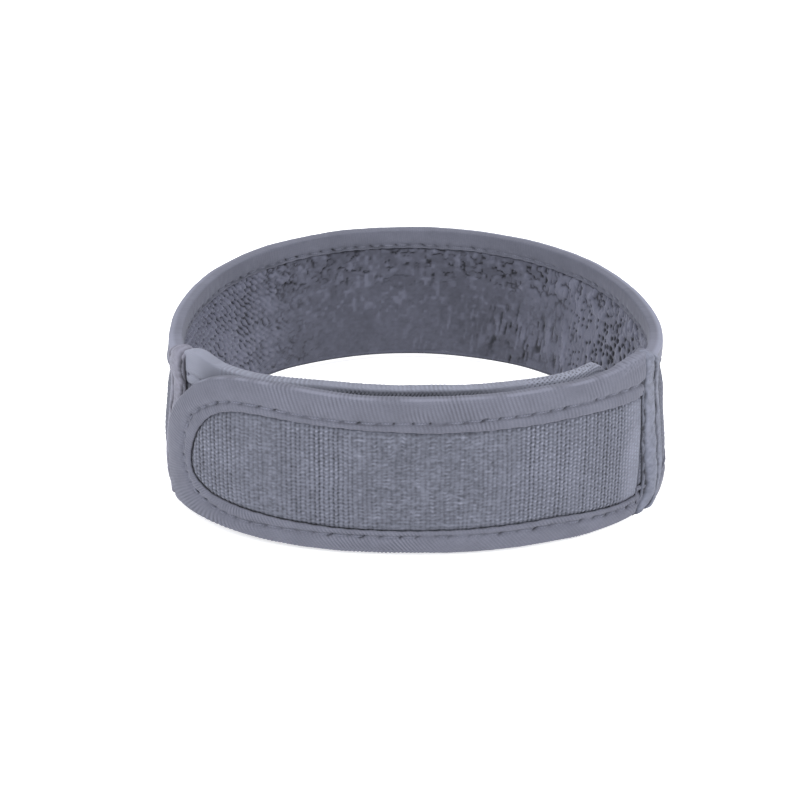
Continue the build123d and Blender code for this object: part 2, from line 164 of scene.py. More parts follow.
def hash2(i, j, seed):
    """A repeatable number from 0 to 1 for each whole-number cell."""
    i = np.asarray(i, np.int64)
    j = np.asarray(j, np.int64)
    h = (i * 374761393 + j * 668265263 + seed * 2246822519) & 0xFFFFFFFF
    h = ((h ^ (h >> 13)) * 1274126177) & 0xFFFFFFFF
    h = (h ^ (h >> 16)) & 0xFFFFFFFF
    return h / 4294967295.0


def noise(x, y, seed=0):
    """Smooth value noise, -1 to 1, one cell a unit across."""
    xi, yi = np.floor(x), np.floor(y)
    fx, fy = x - xi, y - yi
    fx, fy = fx * fx * (3 - 2 * fx), fy * fy * (3 - 2 * fy)
    a, b = hash2(xi, yi, seed), hash2(xi + 1, yi, seed)
    c, d = hash2(xi, yi + 1, seed), hash2(xi + 1, yi + 1, seed)
    return 2 * ((a * (1 - fx) + b * fx) * (1 - fy) + (c * (1 - fx) + d * fx) * fy) - 1


def bumps(x, y, seed, jitter=0.8):
    """Distance to the nearest and second nearest of one jittered point in each unit cell, and a number for the nearest."""
    xi, yi = np.floor(x), np.floor(y)
    f1 = np.full(np.shape(x), 9.0)
    f2 = np.full(np.shape(x), 9.0)
    which = np.zeros(np.shape(x))
    for dx in (-1, 0, 1):
        for dy in (-1, 0, 1):
            cx, cy = xi + dx, yi + dy
            px = cx + 0.5 + jitter * (hash2(cx, cy, seed) - 0.5)
            py = cy + 0.5 + jitter * (hash2(cx, cy, seed + 7) - 0.5)
            d = np.hypot(x - px, y - py)
            w = hash2(cx, cy, seed + 13)
            near = d < f1
            f2 = np.where(near, f1, np.minimum(f2, d))
            which = np.where(near, w, which)
            f1 = np.where(near, d, f1)
    return f1, f2, which


def bell(x, w):
    return np.exp(-((x / w) ** 2))


# ================================================================ mesh helpers
def make(name, verts, quads, ngons=(), painted_light_and_tone=None, fab=None, sharp=None, mats=(), mat_of=None):
    """A mesh object from arrays; verts in millimetres."""
    me = bpy.data.meshes.new(name)
    verts = np.asarray(verts, float).reshape(-1, 3) * MM
    quads = np.asarray(quads, np.int32).reshape(-1, 4)
    me.vertices.add(len(verts))
    me.vertices.foreach_set("co", verts.astype(np.float32).ravel())
    sizes = np.concatenate([np.full(len(quads), 4, np.int32), np.array([len(f) for f in ngons], np.int32)])
    loops = np.concatenate([quads.ravel()] + [np.asarray(f, np.int32) for f in ngons])
    starts = np.concatenate([[0], np.cumsum(sizes)[:-1]]).astype(np.int32)
    me.loops.add(len(loops))
    me.loops.foreach_set("vertex_index", loops.astype(np.int32))
    me.polygons.add(len(sizes))
    me.polygons.foreach_set("loop_start", starts)
    me.update(calc_edges=True)
    me.validate()
    me.shade_smooth()
    if sharp is not None and len(sharp):
        flag = np.zeros(len(verts), bool)
        flag[np.asarray(sharp)] = True
        e = np.empty(len(me.edges) * 2, np.int32)
        me.edges.foreach_get("vertices", e)
        e = e.reshape(-1, 2)
        me.edges.foreach_set("use_edge_sharp", flag[e[:, 0]] & flag[e[:, 1]])
    # per-point painted shade (positive, in grooves, holes and creases) and painted highlight (negative), with some
    # random tone, read by the cloth materials
    a = me.attributes.new("painted_light_and_tone", "FLOAT", "POINT")
    a.data.foreach_set("value", (np.zeros(len(verts)) if painted_light_and_tone is None else np.asarray(painted_light_and_tone).ravel()).astype(np.float32))
    b = me.attributes.new("fab", "FLOAT_VECTOR", "POINT")
    b.data.foreach_set("vector", (verts if fab is None else np.asarray(fab).reshape(-1, 3)).astype(np.float32).ravel())
    for m in mats:
        me.materials.append(m)
    if mat_of is not None:
        me.polygons.foreach_set("material_index", np.asarray(mat_of, np.int32))
    ob = bpy.data.objects.new(name, me)
    bpy.context.scene.collection.objects.link(ob)
    return ob


def grid_quads(nu, nv, wrap=False, flip=False, base=0):
    i = np.arange(nu - 1)[:, None]
    j = np.arange(nv if wrap else nv - 1)[None, :]
    j2 = (j + 1) % nv
    a, b = base + i * nv + j, base + (i + 1) * nv + j
    c, d = base + (i + 1) * nv + j2, base + i * nv + j2
    q = np.stack(np.broadcast_arrays(a, b, c, d), -1).reshape(-1, 4)
    return q[:, ::-1] if flip else q


def normals(p, wrap=False):
    """Unit normals of a grid of points, by its rows crossed with its columns."""
    du = np.gradient(p, axis=0)
    dv = (np.roll(p, -1, 1) - np.roll(p, 1, 1)) / 2 if wrap else np.gradient(p, axis=1)
    n = np.cross(du, dv)
    return n / np.maximum(np.linalg.norm(n, axis=-1, keepdims=True), 1e-12)


def tube_of(name, p, painted_light_and_tone, fab, mats, ref_col, ref_dir, mat_cols=None):
    """Closed cross-sections (second index) swept along stations (first index), capped at both ends."""
    nu, nv = p.shape[:2]
    n = normals(p, True)
    flip = (n[nu // 2, ref_col] * ref_dir).sum() < 0
    q = grid_quads(nu, nv, True, flip)
    first, last = list(range(nv)), list(range((nu - 1) * nv, nu * nv))
    if flip:
        ends = [first, last[::-1]]
    else:
        ends = [first[::-1], last]
    mat_of = None
    if mat_cols is not None:
        mat_of = np.concatenate([np.tile(mat_cols, nu - 1), [0, 0]])
    return make(name, p, q, ends, painted_light_and_tone, fab, first + last, mats, mat_of)


def slab(name, front, back, k, painted_light_and_tone, fab, mats, ref_dir, back_fab=None, back_painted_light_and_tone=None):
    """A closed sheet: a fine grid in front, and every k-th point of one behind, joined round the rim."""
    nu, nv = front.shape[:2]
    b = back[::k, ::k]
    mu, mv = b.shape[:2]
    assert (mu - 1) * k == nu - 1 and (mv - 1) * k == nv - 1, (name, nu, nv, k)
    n = normals(front)
    flip = (n[nu // 2, nv // 2] * ref_dir).sum() < 0
    q = grid_quads(nu, nv, False, flip)
    base = nu * nv
    qb = grid_quads(mu, mv, False, not flip, base)
    ngons = []
    f = lambda i, j: i * nv + j
    g = lambda i, j: base + i * mv + j
    for i in range(mu - 1):
        a = [f(i * k + t, 0) for t in range(k + 1)] + [g(i + 1, 0), g(i, 0)]
        c = [f(i * k + t, nv - 1) for t in range(k + 1)] + [g(i + 1, mv - 1), g(i, mv - 1)]
        ngons += [a if flip else a[::-1], c[::-1] if flip else c]
    for j in range(mv - 1):
        a = [f(0, j * k + t) for t in range(k + 1)] + [g(0, j + 1), g(0, j)]
        c = [f(nu - 1, j * k + t) for t in range(k + 1)] + [g(mu - 1, j + 1), g(mu - 1, j)]
        ngons += [a[::-1] if flip else a, c if flip else c[::-1]]
    idx = np.arange(nu * nv).reshape(nu, nv)
    rim = np.concatenate([idx[0], idx[-1], idx[:, 0], idx[:, -1]])
    idb = base + np.arange(mu * mv).reshape(mu, mv)
    rim = np.concatenate([rim, idb[0], idb[-1], idb[:, 0], idb[:, -1]])
    verts = np.concatenate([front.reshape(-1, 3), b.reshape(-1, 3)])
    bf = (fab if back_fab is None else back_fab)[::k, ::k]
    # painted shade and highlight, with random tone, for the fine face and the plainer back
    bc = (painted_light_and_tone if back_painted_light_and_tone is None else back_painted_light_and_tone)[::k, ::k]
    fabs = np.concatenate([fab.reshape(-1, 3), bf.reshape(-1, 3)])
    painted_light_and_tone_all = np.concatenate([painted_light_and_tone.ravel(), bc.ravel()])
    mat_of = np.concatenate([np.zeros(len(q)), np.full(len(qb), len(mats) - 1), np.zeros(len(ngons))])
    return make(name, verts, np.concatenate([q, qb]), ngons, painted_light_and_tone_all, fabs, rim, mats, mat_of)


# ================================================================ materials
def srgb(r, g, b):
    f = lambda v: v / 12.92 if v <= 0.04045 else ((v + 0.055) / 1.055) ** 2.4
    return (f(r / 255), f(g / 255), f(b / 255), 1.0)


class Nodes:
    def __init__(self, name):
        self.mat = bpy.data.materials.new(name)
        self.mat.use_nodes = True
        self.nt = self.mat.node_tree
        self.bsdf = self.nt.nodes["Principled BSDF"]

    def new(self, kind, **kw):
        n = self.nt.nodes.new(kind)
        for k, v in kw.items():
            setattr(n, k, v)
        return n

    def put(self, socket, v):
        if isinstance(v, bpy.types.NodeSocket):
            self.nt.links.new(v, socket)
        else:
            socket.default_value = v

    def math(self, op, a, b=0.0, c=0.0, clamp=False):
        n = self.new("ShaderNodeMath", operation=op, use_clamp=clamp)
        for s, v in zip(n.inputs, (a, b, c)):
            self.put(s, v)
        return n.outputs[0]

    def mix(self, f, a, b, mode="MIX"):
        n = self.new("ShaderNodeMix", data_type="RGBA", blend_type=mode)
        self.put(n.inputs[0], f)
        self.put(n.inputs[6], a)
        self.put(n.inputs[7], b)
        return n.outputs[2]

    def attr(self, name):
        return self.new("ShaderNodeAttribute", attribute_name=name)

    def noise(self, vec, scale, detail=3.0, rough=0.55):
        n = self.new("ShaderNodeTexNoise")
        self.put(n.inputs["Vector"], vec)
        n.inputs["Scale"].default_value = scale
        n.inputs["Detail"].default_value = detail
        n.inputs["Roughness"].default_value = rough
        return n.outputs["Fac"]

    def span(self, v, a, b, c=0.0, d=1.0):
        n = self.new("ShaderNodeMapRange")
        for s, x in zip(n.inputs, (v, a, b, c, d)):
            self.put(s, x)
        return n.outputs[0]

    def sine(self, v, period, phase=0.0):
        return self.math("SINE", self.math("MULTIPLY_ADD", v, TAU / period, phase))


def fabric(name, colour, kind="knit", px=0.9, py=0.55, depth=0.05, dark=0.42, light=1.18, rough=0.86, sheen=0.22, mottle=0.10, slant=0.0, fuzz=0.5, pit=0.13):
    """Cloth whose yarns follow the millimetre coordinates that each mesh carries."""
    N = Nodes(name)
    at = N.attr("fab")
    sep = N.new("ShaderNodeSeparateXYZ")
    N.put(sep.inputs[0], at.outputs["Vector"])
    x, y = sep.outputs[0], sep.outputs[1]
    painted_light_and_tone = N.attr("painted_light_and_tone").outputs["Fac"]
    vec = at.outputs["Vector"]
    big = N.noise(vec, 0.16, 3)
    mid = N.noise(vec, 0.9, 4)
    fine = N.noise(vec, 6.5, 4, 0.65)
    fibre = N.noise(vec, 17.0, 2, 0.7)
    wob = N.math("MULTIPLY", N.math("SUBTRACT", mid, 0.5), 0.22)
    if kind == "knit":      # wales along y, a stitch each py
        xx = N.math("ADD", x, wob)
        wale = N.sine(xx, px)
        cell = N.math("FLOOR", N.math("DIVIDE", xx, px / 2))
        row = N.sine(N.math("ADD", y, N.math("MULTIPLY", cell, py / 2)), py)
        pattern = N.math("MULTIPLY", N.math("MULTIPLY_ADD", wale, 0.5, 0.5), N.math("MULTIPLY_ADD", row, 0.5, 0.5))
        dots = N.math("POWER", pattern, 1.6)
        relief = N.math("ADD", N.math("MULTIPLY", pattern, 0.7), N.math("MULTIPLY", fine, 0.5))
    elif kind == "tape":    # fine ribs across the tape, crossed by a finer yarn
        xx = N.math("ADD", x, N.math("MULTIPLY", wob, 0.4))
        rib = N.sine(xx, px)
        yarn = N.sine(N.math("ADD", y, N.math("MULTIPLY", xx, 0.35)), py)
        pattern = N.math("MULTIPLY_ADD", rib, 0.5, 0.5)
        dots = N.math("MULTIPLY", pattern, N.math("MULTIPLY_ADD", yarn, 0.35, 0.65))
        relief = N.math("ADD", N.math("MULTIPLY", dots, 0.6), N.math("MULTIPLY", fine, 0.45))
    elif kind == "terry":   # looped pile
        vor = N.new("ShaderNodeTexVoronoi", feature="F1")
        N.put(vor.inputs["Vector"], vec)
        vor.inputs["Scale"].default_value = 1 / px
        pattern = N.span(vor.outputs["Distance"], 0.0, 0.75, 1.0, 0.0)
        dots = N.math("MULTIPLY", pattern, N.math("MULTIPLY_ADD", fine, 0.8, 0.4))
        relief = N.math("ADD", N.math("MULTIPLY", pattern, 0.5), N.math("MULTIPLY", fine, 0.7))
    elif kind == "plain":   # loose fibre only; the mesh carries the knit
        pattern = N.span(fibre, 0.3, 0.7)
        dots = N.math("MULTIPLY_ADD", pattern, 0.7, 0.15)
        relief = N.math("ADD", N.math("MULTIPLY", fibre, 0.6), N.math("MULTIPLY", fine, 0.7))
    elif kind == "mesh":    # open net of small round holes
        a = N.sine(x, px)
        b = N.sine(N.math("ADD", y, N.math("MULTIPLY", x, slant)), py)
        pattern = N.math("MULTIPLY_ADD", N.math("MULTIPLY", a, b), 0.5, 0.5)
        dots = N.math("POWER", pattern, 0.8)
        relief = N.math("ADD", N.math("MULTIPLY", pattern, 0.8), N.math("MULTIPLY", fine, 0.3))
    else:                   # thread: plies that wind round it
        ply = N.sine(N.math("ADD", x, N.math("MULTIPLY", y, 0.5)), px)
        pattern = N.math("MULTIPLY_ADD", ply, 0.5, 0.5)
        dots = pattern
        relief = N.math("ADD", pattern, N.math("MULTIPLY", fine, 0.3))
    c = [v for v in colour[:3]]
    low = tuple(v * (1 - mottle) for v in c) + (1,)
    high = tuple(min(1, v * (1 + mottle)) for v in c) + (1,)
    base = N.mix(N.span(big, 0.3, 0.7), low, high)
    shade = N.span(N.math("ADD", N.math("MULTIPLY", dots, 0.65), N.math("MULTIPLY", fine, 0.35)), 0.12, 0.8, 1 - (1 - dark) * fuzz, light)
    tone = N.new("ShaderNodeCombineColor")
    for s in tone.inputs[:3]:
        N.put(s, shade)
    base = N.mix(1.0, base, tone.outputs[0], "MULTIPLY")
    spark = N.span(fibre, 0.62, 0.78, 0.0, 0.16)
    base = N.mix(spark, base, tuple(min(1, v * 1.7 + 0.02) for v in c) + (1,))
    # painted shade and painted highlight: the per-point value darkens the cloth towards deep (pit times its colour) and
    # lightens it towards pale
    deep = tuple(v * pit for v in c) + (1,)
    pale = tuple(min(1, v * 1.75 + 0.01) for v in c) + (1,)
    base = N.mix(N.math("MULTIPLY", painted_light_and_tone, 0.94, clamp=True), base, deep)
    base = N.mix(N.math("MULTIPLY", painted_light_and_tone, -1.0, clamp=True), base, pale)
    N.put(N.bsdf.inputs["Base Color"], base)
    N.put(N.bsdf.inputs["Roughness"], N.span(fine, 0.2, 0.8, rough - 0.07, min(1.0, rough + 0.08)))
    N.bsdf.inputs["Specular IOR Level"].default_value = 0.25
    N.bsdf.inputs["Sheen Weight"].default_value = sheen
    N.bsdf.inputs["Sheen Roughness"].default_value = 0.45
    N.bsdf.inputs["Sheen Tint"].default_value = (0.80, 0.82, 0.95, 1)
    bump = N.new("ShaderNodeBump")
    bump.inputs["Strength"].default_value = 0.9
    bump.inputs["Distance"].default_value = depth * MM
    N.put(bump.inputs["Height"], relief)
    N.put(N.bsdf.inputs["Normal"], bump.outputs[0])
    return N.mat


def metal(name, colour, rough=0.28, brush=0.02):
    N = Nodes(name)
    tc = N.new("ShaderNodeTexCoord").outputs["Object"]
    smudge = N.noise(tc, 420.0, 4)
    fine = N.noise(tc, 5200.0, 2, 0.7)
    ring = N.new("ShaderNodeTexWave", wave_type="RINGS", rings_direction="Y")
    N.put(ring.inputs["Vector"], tc)
    ring.inputs["Scale"].default_value = 900.0
    ring.inputs["Distortion"].default_value = 1.2
    c = colour[:3]
    base = N.mix(N.span(smudge, 0.35, 0.7), tuple(v * 0.82 for v in c) + (1,), tuple(c) + (1,))
    N.put(N.bsdf.inputs["Base Color"], base)
    N.bsdf.inputs["Metallic"].default_value = 1.0
    N.put(N.bsdf.inputs["Roughness"], N.span(N.math("ADD", N.math("MULTIPLY", smudge, 0.7), N.math("MULTIPLY", fine, 0.3)), 0.3, 0.75, rough - 0.07, rough + 0.14))
    bump = N.new("ShaderNodeBump")
    bump.inputs["Strength"].default_value = 0.5
    bump.inputs["Distance"].default_value = brush * MM
    N.put(bump.inputs["Height"], N.math("ADD", N.math("MULTIPLY", ring.outputs["Fac"], 0.5), fine))
    N.put(N.bsdf.inputs["Normal"], bump.outputs[0])
    return N.mat


# cloth colours before lighting
def cloth(r, g, b, k=1.0):
    return tuple(v * k for v in srgb(r, g, b)[:3]) + (1.0,)


C_PANEL = cloth(110, 113, 127, 0.80)
C_TAPE = cloth(116, 118, 133, 0.60)
C_SIDE = cloth(130, 130, 145, 0.61)
C_LINER = cloth(103, 105, 121, 0.70)
C_UNDER = cloth(128, 131, 145, 0.78)
C_SHELL = cloth(106, 109, 123, 0.80)
C_THREAD = cloth(117, 120, 136, 0.70)

M_PANEL = fabric("rib_knit", C_PANEL, "plain", 0.45, 0.5, 0.05, dark=0.6)
M_TAPE = fabric("binding_tape", C_TAPE, "tape", 0.52, 0.22, 0.025, dark=0.78, light=1.14, rough=0.82, sheen=0.16, mottle=0.07)
M_SIDE = fabric("joint_tape", C_SIDE, "plain", 0.34, 0.38, 0.05, dark=0.70, light=1.12, rough=0.82, sheen=0.16, mottle=0.10)
M_SIDE2 = fabric("joint_tape_grey", cloth(126, 130, 147, 0.61), "plain", 0.34, 0.38, 0.05, dark=0.70, light=1.12, rough=0.82, sheen=0.16, mottle=0.10)
M_TOP = fabric("inner_tape", C_TAPE, "tape", 0.34, 0.30, 0.012, dark=0.88, light=1.06, rough=0.84, sheen=0.14, mottle=0.08)
M_LINER = fabric("conductive_knit", C_LINER, "plain", 0.42, 0.4, 0.05, dark=0.6, light=1.15, mottle=0.14, pit=0.05)
M_SHELL = fabric("face_knit", C_SHELL, "knit", 0.45, 0.5, 0.05)
M_LOOP = fabric("loop_knit", C_UNDER, "terry", 0.5, 0.5, 0.09, dark=0.5, light=1.2, mottle=0.12, sheen=0.4)
M_UTAPE = fabric("underlay_tape", C_UNDER, "tape", 0.60, 0.25, 0.025, dark=0.75, light=1.14, rough=0.82, sheen=0.16, mottle=0.07)
M_MESH = fabric("underlay_mesh", C_UNDER, "mesh", 0.55, 0.55, 0.08, dark=0.3, light=1.15)
M_HOOK = fabric("hook_tape", srgb(98, 100, 116), "knit", 0.8, 0.8, 0.05, dark=0.5)
M_THREAD = fabric("thread", C_THREAD, "thread", 0.35, 0.2, 0.05, dark=0.6, rough=0.7, sheen=0.15)
M_SNAP = metal("snap_metal", (0.46, 0.45, 0.43, 1), 0.27)
M_WASHER = metal("washer_metal", (0.33, 0.335, 0.345, 1), 0.38)

# ================================================================ the tab's outline
# each row: outer edge, stitch line, rim of the tape, as (station, height) in millimetres,
# from the right joint along the top, round the tip and back along the bottom
TAB_KEYS = np.array([
    (-33.4, 23.05, -33.4, 19.10, -33.4, 17.20),
    (-30.0, 22.95, -30.0, 19.00, -30.0, 17.15),
    (-26.0, 22.35, -26.0, 19.20, -26.0, 17.30),
    (-22.0, 22.10, -22.0, 19.15, -22.0, 17.45),
    (-16.0, 22.05, -16.0, 19.00, -16.0, 17.50),
    (-9.0, 21.80, -9.0, 18.70, -9.0, 17.25),
    (-2.0, 21.70, -2.0, 18.45, -2.0, 17.20),
    (4.0, 21.70, 4.0, 18.40, 4.0, 17.30),
    (10.0, 21.88, 10.0, 18.45, 10.0, 17.60),
    (15.6, 22.40, 15.6, 18.90, 15.6, 18.00),
    (20.0, 22.78, 19.9, 19.28, 19.8, 18.25),
    (24.0, 22.72, 23.4, 19.38, 23.3, 18.22),
    (27.2, 22.05, 26.1, 18.92, 25.8, 17.75),
    (29.8, 20.75, 28.2, 17.95, 27.7, 16.72),
    (32.0, 18.80, 29.9, 16.75, 29.2, 15.30),
    (33.9, 16.70, 31.1, 15.20, 30.2, 13.80),
    (35.2, 14.60, 32.0, 13.40, 30.9, 12.20),
    (36.0, 12.30, 32.45, 11.60, 31.35, 10.60),
    (36.25, 9.90, 32.6, 9.80, 31.55, 9.20),
    (36.2, 7.30, 32.5, 8.20, 31.5, 8.00),
    (36.1, 5.00, 32.1, 6.70, 31.15, 7.10),
    (35.5, 3.15, 31.4, 5.40, 30.4, 6.35),
    (34.2, 1.95, 30.3, 4.25, 29.4, 5.70),
    (31.9, 1.30, 28.6, 3.42, 28.0, 5.05),
    (28.6, 0.85, 26.6, 2.85, 26.0, 4.55),
    (25.0, 0.55, 24.2, 2.52, 23.8, 4.20),
    (21.0, 0.25, 20.8, 2.35, 20.6, 3.80),
    (16.0, 0.02, 16.0, 2.30, 16.0, 3.40),
    (11.0, -0.12, 11.0, 2.20, 11.0, 3.10),
    (5.0, -0.20, 5.0, 2.20, 5.0, 3.00),
    (-2.0, -0.22, -2.0, 2.20, -2.0, 2.95),
    (-10.0, -0.22, -10.0, 2.25, -10.0, 3.15),
    (-17.0, -0.25, -17.0, 2.30, -17.0, 3.25),
    (-23.0, -0.42, -23.0, 1.85, -23.0, 2.75),
    (-28.0, -0.60, -28.0, 1.40, -28.0, 2.20),
    (-31.0, -0.66, -31.0, 1.25, -31.0, 2.05),
    (-33.4, -0.66, -33.4, 1.20, -33.4, 2.00),
])

# the underlay: from the left joint along the top, round the free end and back along the bottom
UND_KEYS = np.array([
    (34.9, 22.95, 34.9, 19.95, 34.9, 18.70),
    (33.4, 23.42, 33.4, 19.90, 33.4, 18.60),
    (31.9, 23.42, 31.9, 19.80, 31.9, 18.60),
    (30.2, 22.98, 30.4, 19.65, 30.4, 18.50),
    (28.2, 22.48, 28.6, 19.50, 28.6, 18.50),
    (24.0, 22.08, 24.0, 19.30, 24.0, 18.50),
    (14.0, 21.95, 14.0, 19.40, 14.0, 18.70),
    (6.0, 21.80, 6.0, 19.30, 6.0, 18.65),
    (-2.0, 21.80, -2.0, 19.30, -2.0, 18.65),
    (-9.0, 21.75, -9.0, 19.35, -9.0, 18.75),
    (-15.0, 21.78, -15.0, 19.40, -15.0, 18.80),
    (-20.0, 21.85, -19.8, 19.45, -19.5, 18.70),
    (-23.2, 22.05, -22.0, 19.45, -21.3, 18.60),
    (-25.4, 22.30, -23.2, 19.10, -22.2, 18.20),
    (-26.5, 21.75, -23.9, 18.20, -22.8, 17.20),
    (-27.3, 20.70, -24.3, 16.90, -23.1, 15.80),
    (-27.1, 17.00, -24.2, 14.30, -23.1, 13.50),
    (-26.4, 11.00, -23.9, 11.00, -22.9, 11.00),
    (-25.7, 7.00, -23.3, 8.20, -22.4, 8.60),
    (-25.0, 3.80, -22.8, 5.40, -21.8, 6.20),
    (-23.2, 1.70, -21.3, 3.70, -20.4, 4.60),
    (-20.4, 0.70, -19.2, 2.95, -18.6, 3.75),
    (-16.0, 0.38, -16.0, 2.75, -16.0, 3.45),
    (-9.0, 0.32, -9.0, 2.70, -9.0, 3.40),
    (2.0, 0.32, 2.0, 2.70, 2.0, 3.40),
    (14.0, 0.32, 14.0, 2.70, 14.0, 3.40),
    (24.0, 0.32, 24.0, 2.70, 24.0, 3.40),
    (30.0, 0.32, 30.0, 2.70, 30.0, 3.40),
    (34.9, 0.32, 34.9, 2.70, 34.9, 3.40),
])


class Rail:
    """Outer edge O, stitch line S and rim R of a bound strip, by length along the outer edge."""

    def __init__(self, keys, n=9000):
        c = np.concatenate([[0], np.cumsum(np.hypot(np.diff(keys[:, 0]), np.diff(keys[:, 1])))])
        t = np.linspace(0, c[-1], n)
        v = np.stack([hermite(c, keys[:, k], t) for k in range(6)], -1)
        self.s = np.concatenate([[0], np.cumsum(np.hypot(np.diff(v[:, 0]), np.diff(v[:, 1])))])
        self.v = v

    def at(self, s):
        v = [np.interp(s, self.s, self.v[:, k]) for k in range(6)]
        return np.stack(v[0:2], -1), np.stack(v[2:4], -1), np.stack(v[4:6], -1)

    def s_at_u(self, u, top):
        """Length at which the outer edge passes station u, on the first (top) or last run."""
        half = len(self.s) // 2
        part = slice(0, half) if top else slice(half, None)
        uu, ss = self.v[part, 0], self.s[part]
        i = np.argmin(np.abs(uu - u))
        lo, hi = max(0, i - 2), min(len(uu), i + 3)
        o = np.argsort(uu[lo:hi])
        return float(np.interp(u, uu[lo:hi][o], ss[lo:hi][o]))


TAB = Rail(TAB_KEYS)
UND = Rail(UND_KEYS)
PITCH = 2.2     # lockstitch


def holes(s, pitch, phase=0.0):
    """Distance along the seam to the nearest needle hole, with uneven spacing."""
    k = np.round((s - phase) / pitch)
    j = 0.22 * (hash2(k, k * 0 + 3, 5) - 0.5)
    return s - phase - (k + j) * pitch


def tape_relief(s, a, seam, width, slant, pitch=PITCH, rib=0.52, amp=0.03, hole=0.22, phase=0.0, puff=1.0, shadow=0.5, gain=1.0):
    """Height, and painted shade and highlight over a tape: s along it, a in from its rim, seam and width where the
    stitches and the edge are.
    """
    h = -0.22 * bell(a - seam, 0.34)
    h = h + 0.12 * puff * np.sin(math.pi * np.clip((a - seam) / np.maximum(width - 0.5 - seam, 0.5), 0, 1))
    h = h + 0.05 * np.sin(math.pi * np.clip(a / np.maximum(seam, 0.3), 0, 1))
    ds = holes(s, pitch, phase)
    k = np.round((s - phase) / pitch)
    pull = hash2(k, k * 0 + 1, 17)
    force = 0.12 + 0.88 * pull ** 1.6           # some holes gape, most are closed by the thread
    reach = 0.14 + 0.34 * hash2(k, k * 0 + 2, 19)
    deep = force * bell(ds + 0.2 * (pull - 0.5), reach) * bell(a - seam + 0.16 * np.tanh(ds / 0.3), 0.15)
    h = h - hole * deep - 0.05 * np.cos(TAU * ds / pitch) * bell(a - seam, 1.0)
    fade = ramp(a, 0.05, 0.35) * (1 - 0.8 * bell(a - seam, 0.3))
    ph = s + slant * a + 0.16 * noise(s * 0.35, a * 0.5, 3) + 0.05 * noise(s * 1.1, a * 0.9, 4)
    rel = np.clip(0.62 + 0.85 * noise(s * 0.27, a * 0.5, 11), 0.08, 1.3) * gain
    h = h + amp * fade * rel * np.cos(TAU * ph / rib)
    h = h + 0.035 * noise(s / 0.75, (a - seam) / 0.45, 24) * bell(a - seam, 0.9)      # puckers round the seam
    h = h + 0.06 * noise(s * 0.22, a * 0.3, 21) + 0.022 * noise(s * 1.3, a * 1.6, 22)
    # painted shadow under the thread on its lower side; below, painted shade in the needle holes and rib valleys,
    # painted highlights on the rib crests, and random tone
    under = bell(a - seam + 0.20, 0.13) * (0.35 + 0.65 * np.abs(np.cos(math.pi * ds / pitch)) ** 0.7)
    ragged = np.clip(0.55 + 0.8 * noise(s / 2.4, a * 0.2, 23), 0.15, 1)
    painted_light_and_tone = 0.85 * np.clip(deep * 1.5, 0, 1) + shadow * under * ragged
    painted_light_and_tone = painted_light_and_tone + (0.34 * (0.5 - 0.5 * np.cos(TAU * ph / rib)) - 0.17) * fade * rel + 0.05 * noise(s / 0.24, a / 0.3, 29) * fade
    painted_light_and_tone = painted_light_and_tone + 0.10 * noise(s / 0.9, a / 0.5, 25) * bell(a - seam, 1.1) + 0.05 * noise(s / 2.3, a / 1.2, 26)
    return h, np.clip(painted_light_and_tone, -0.3, 1)


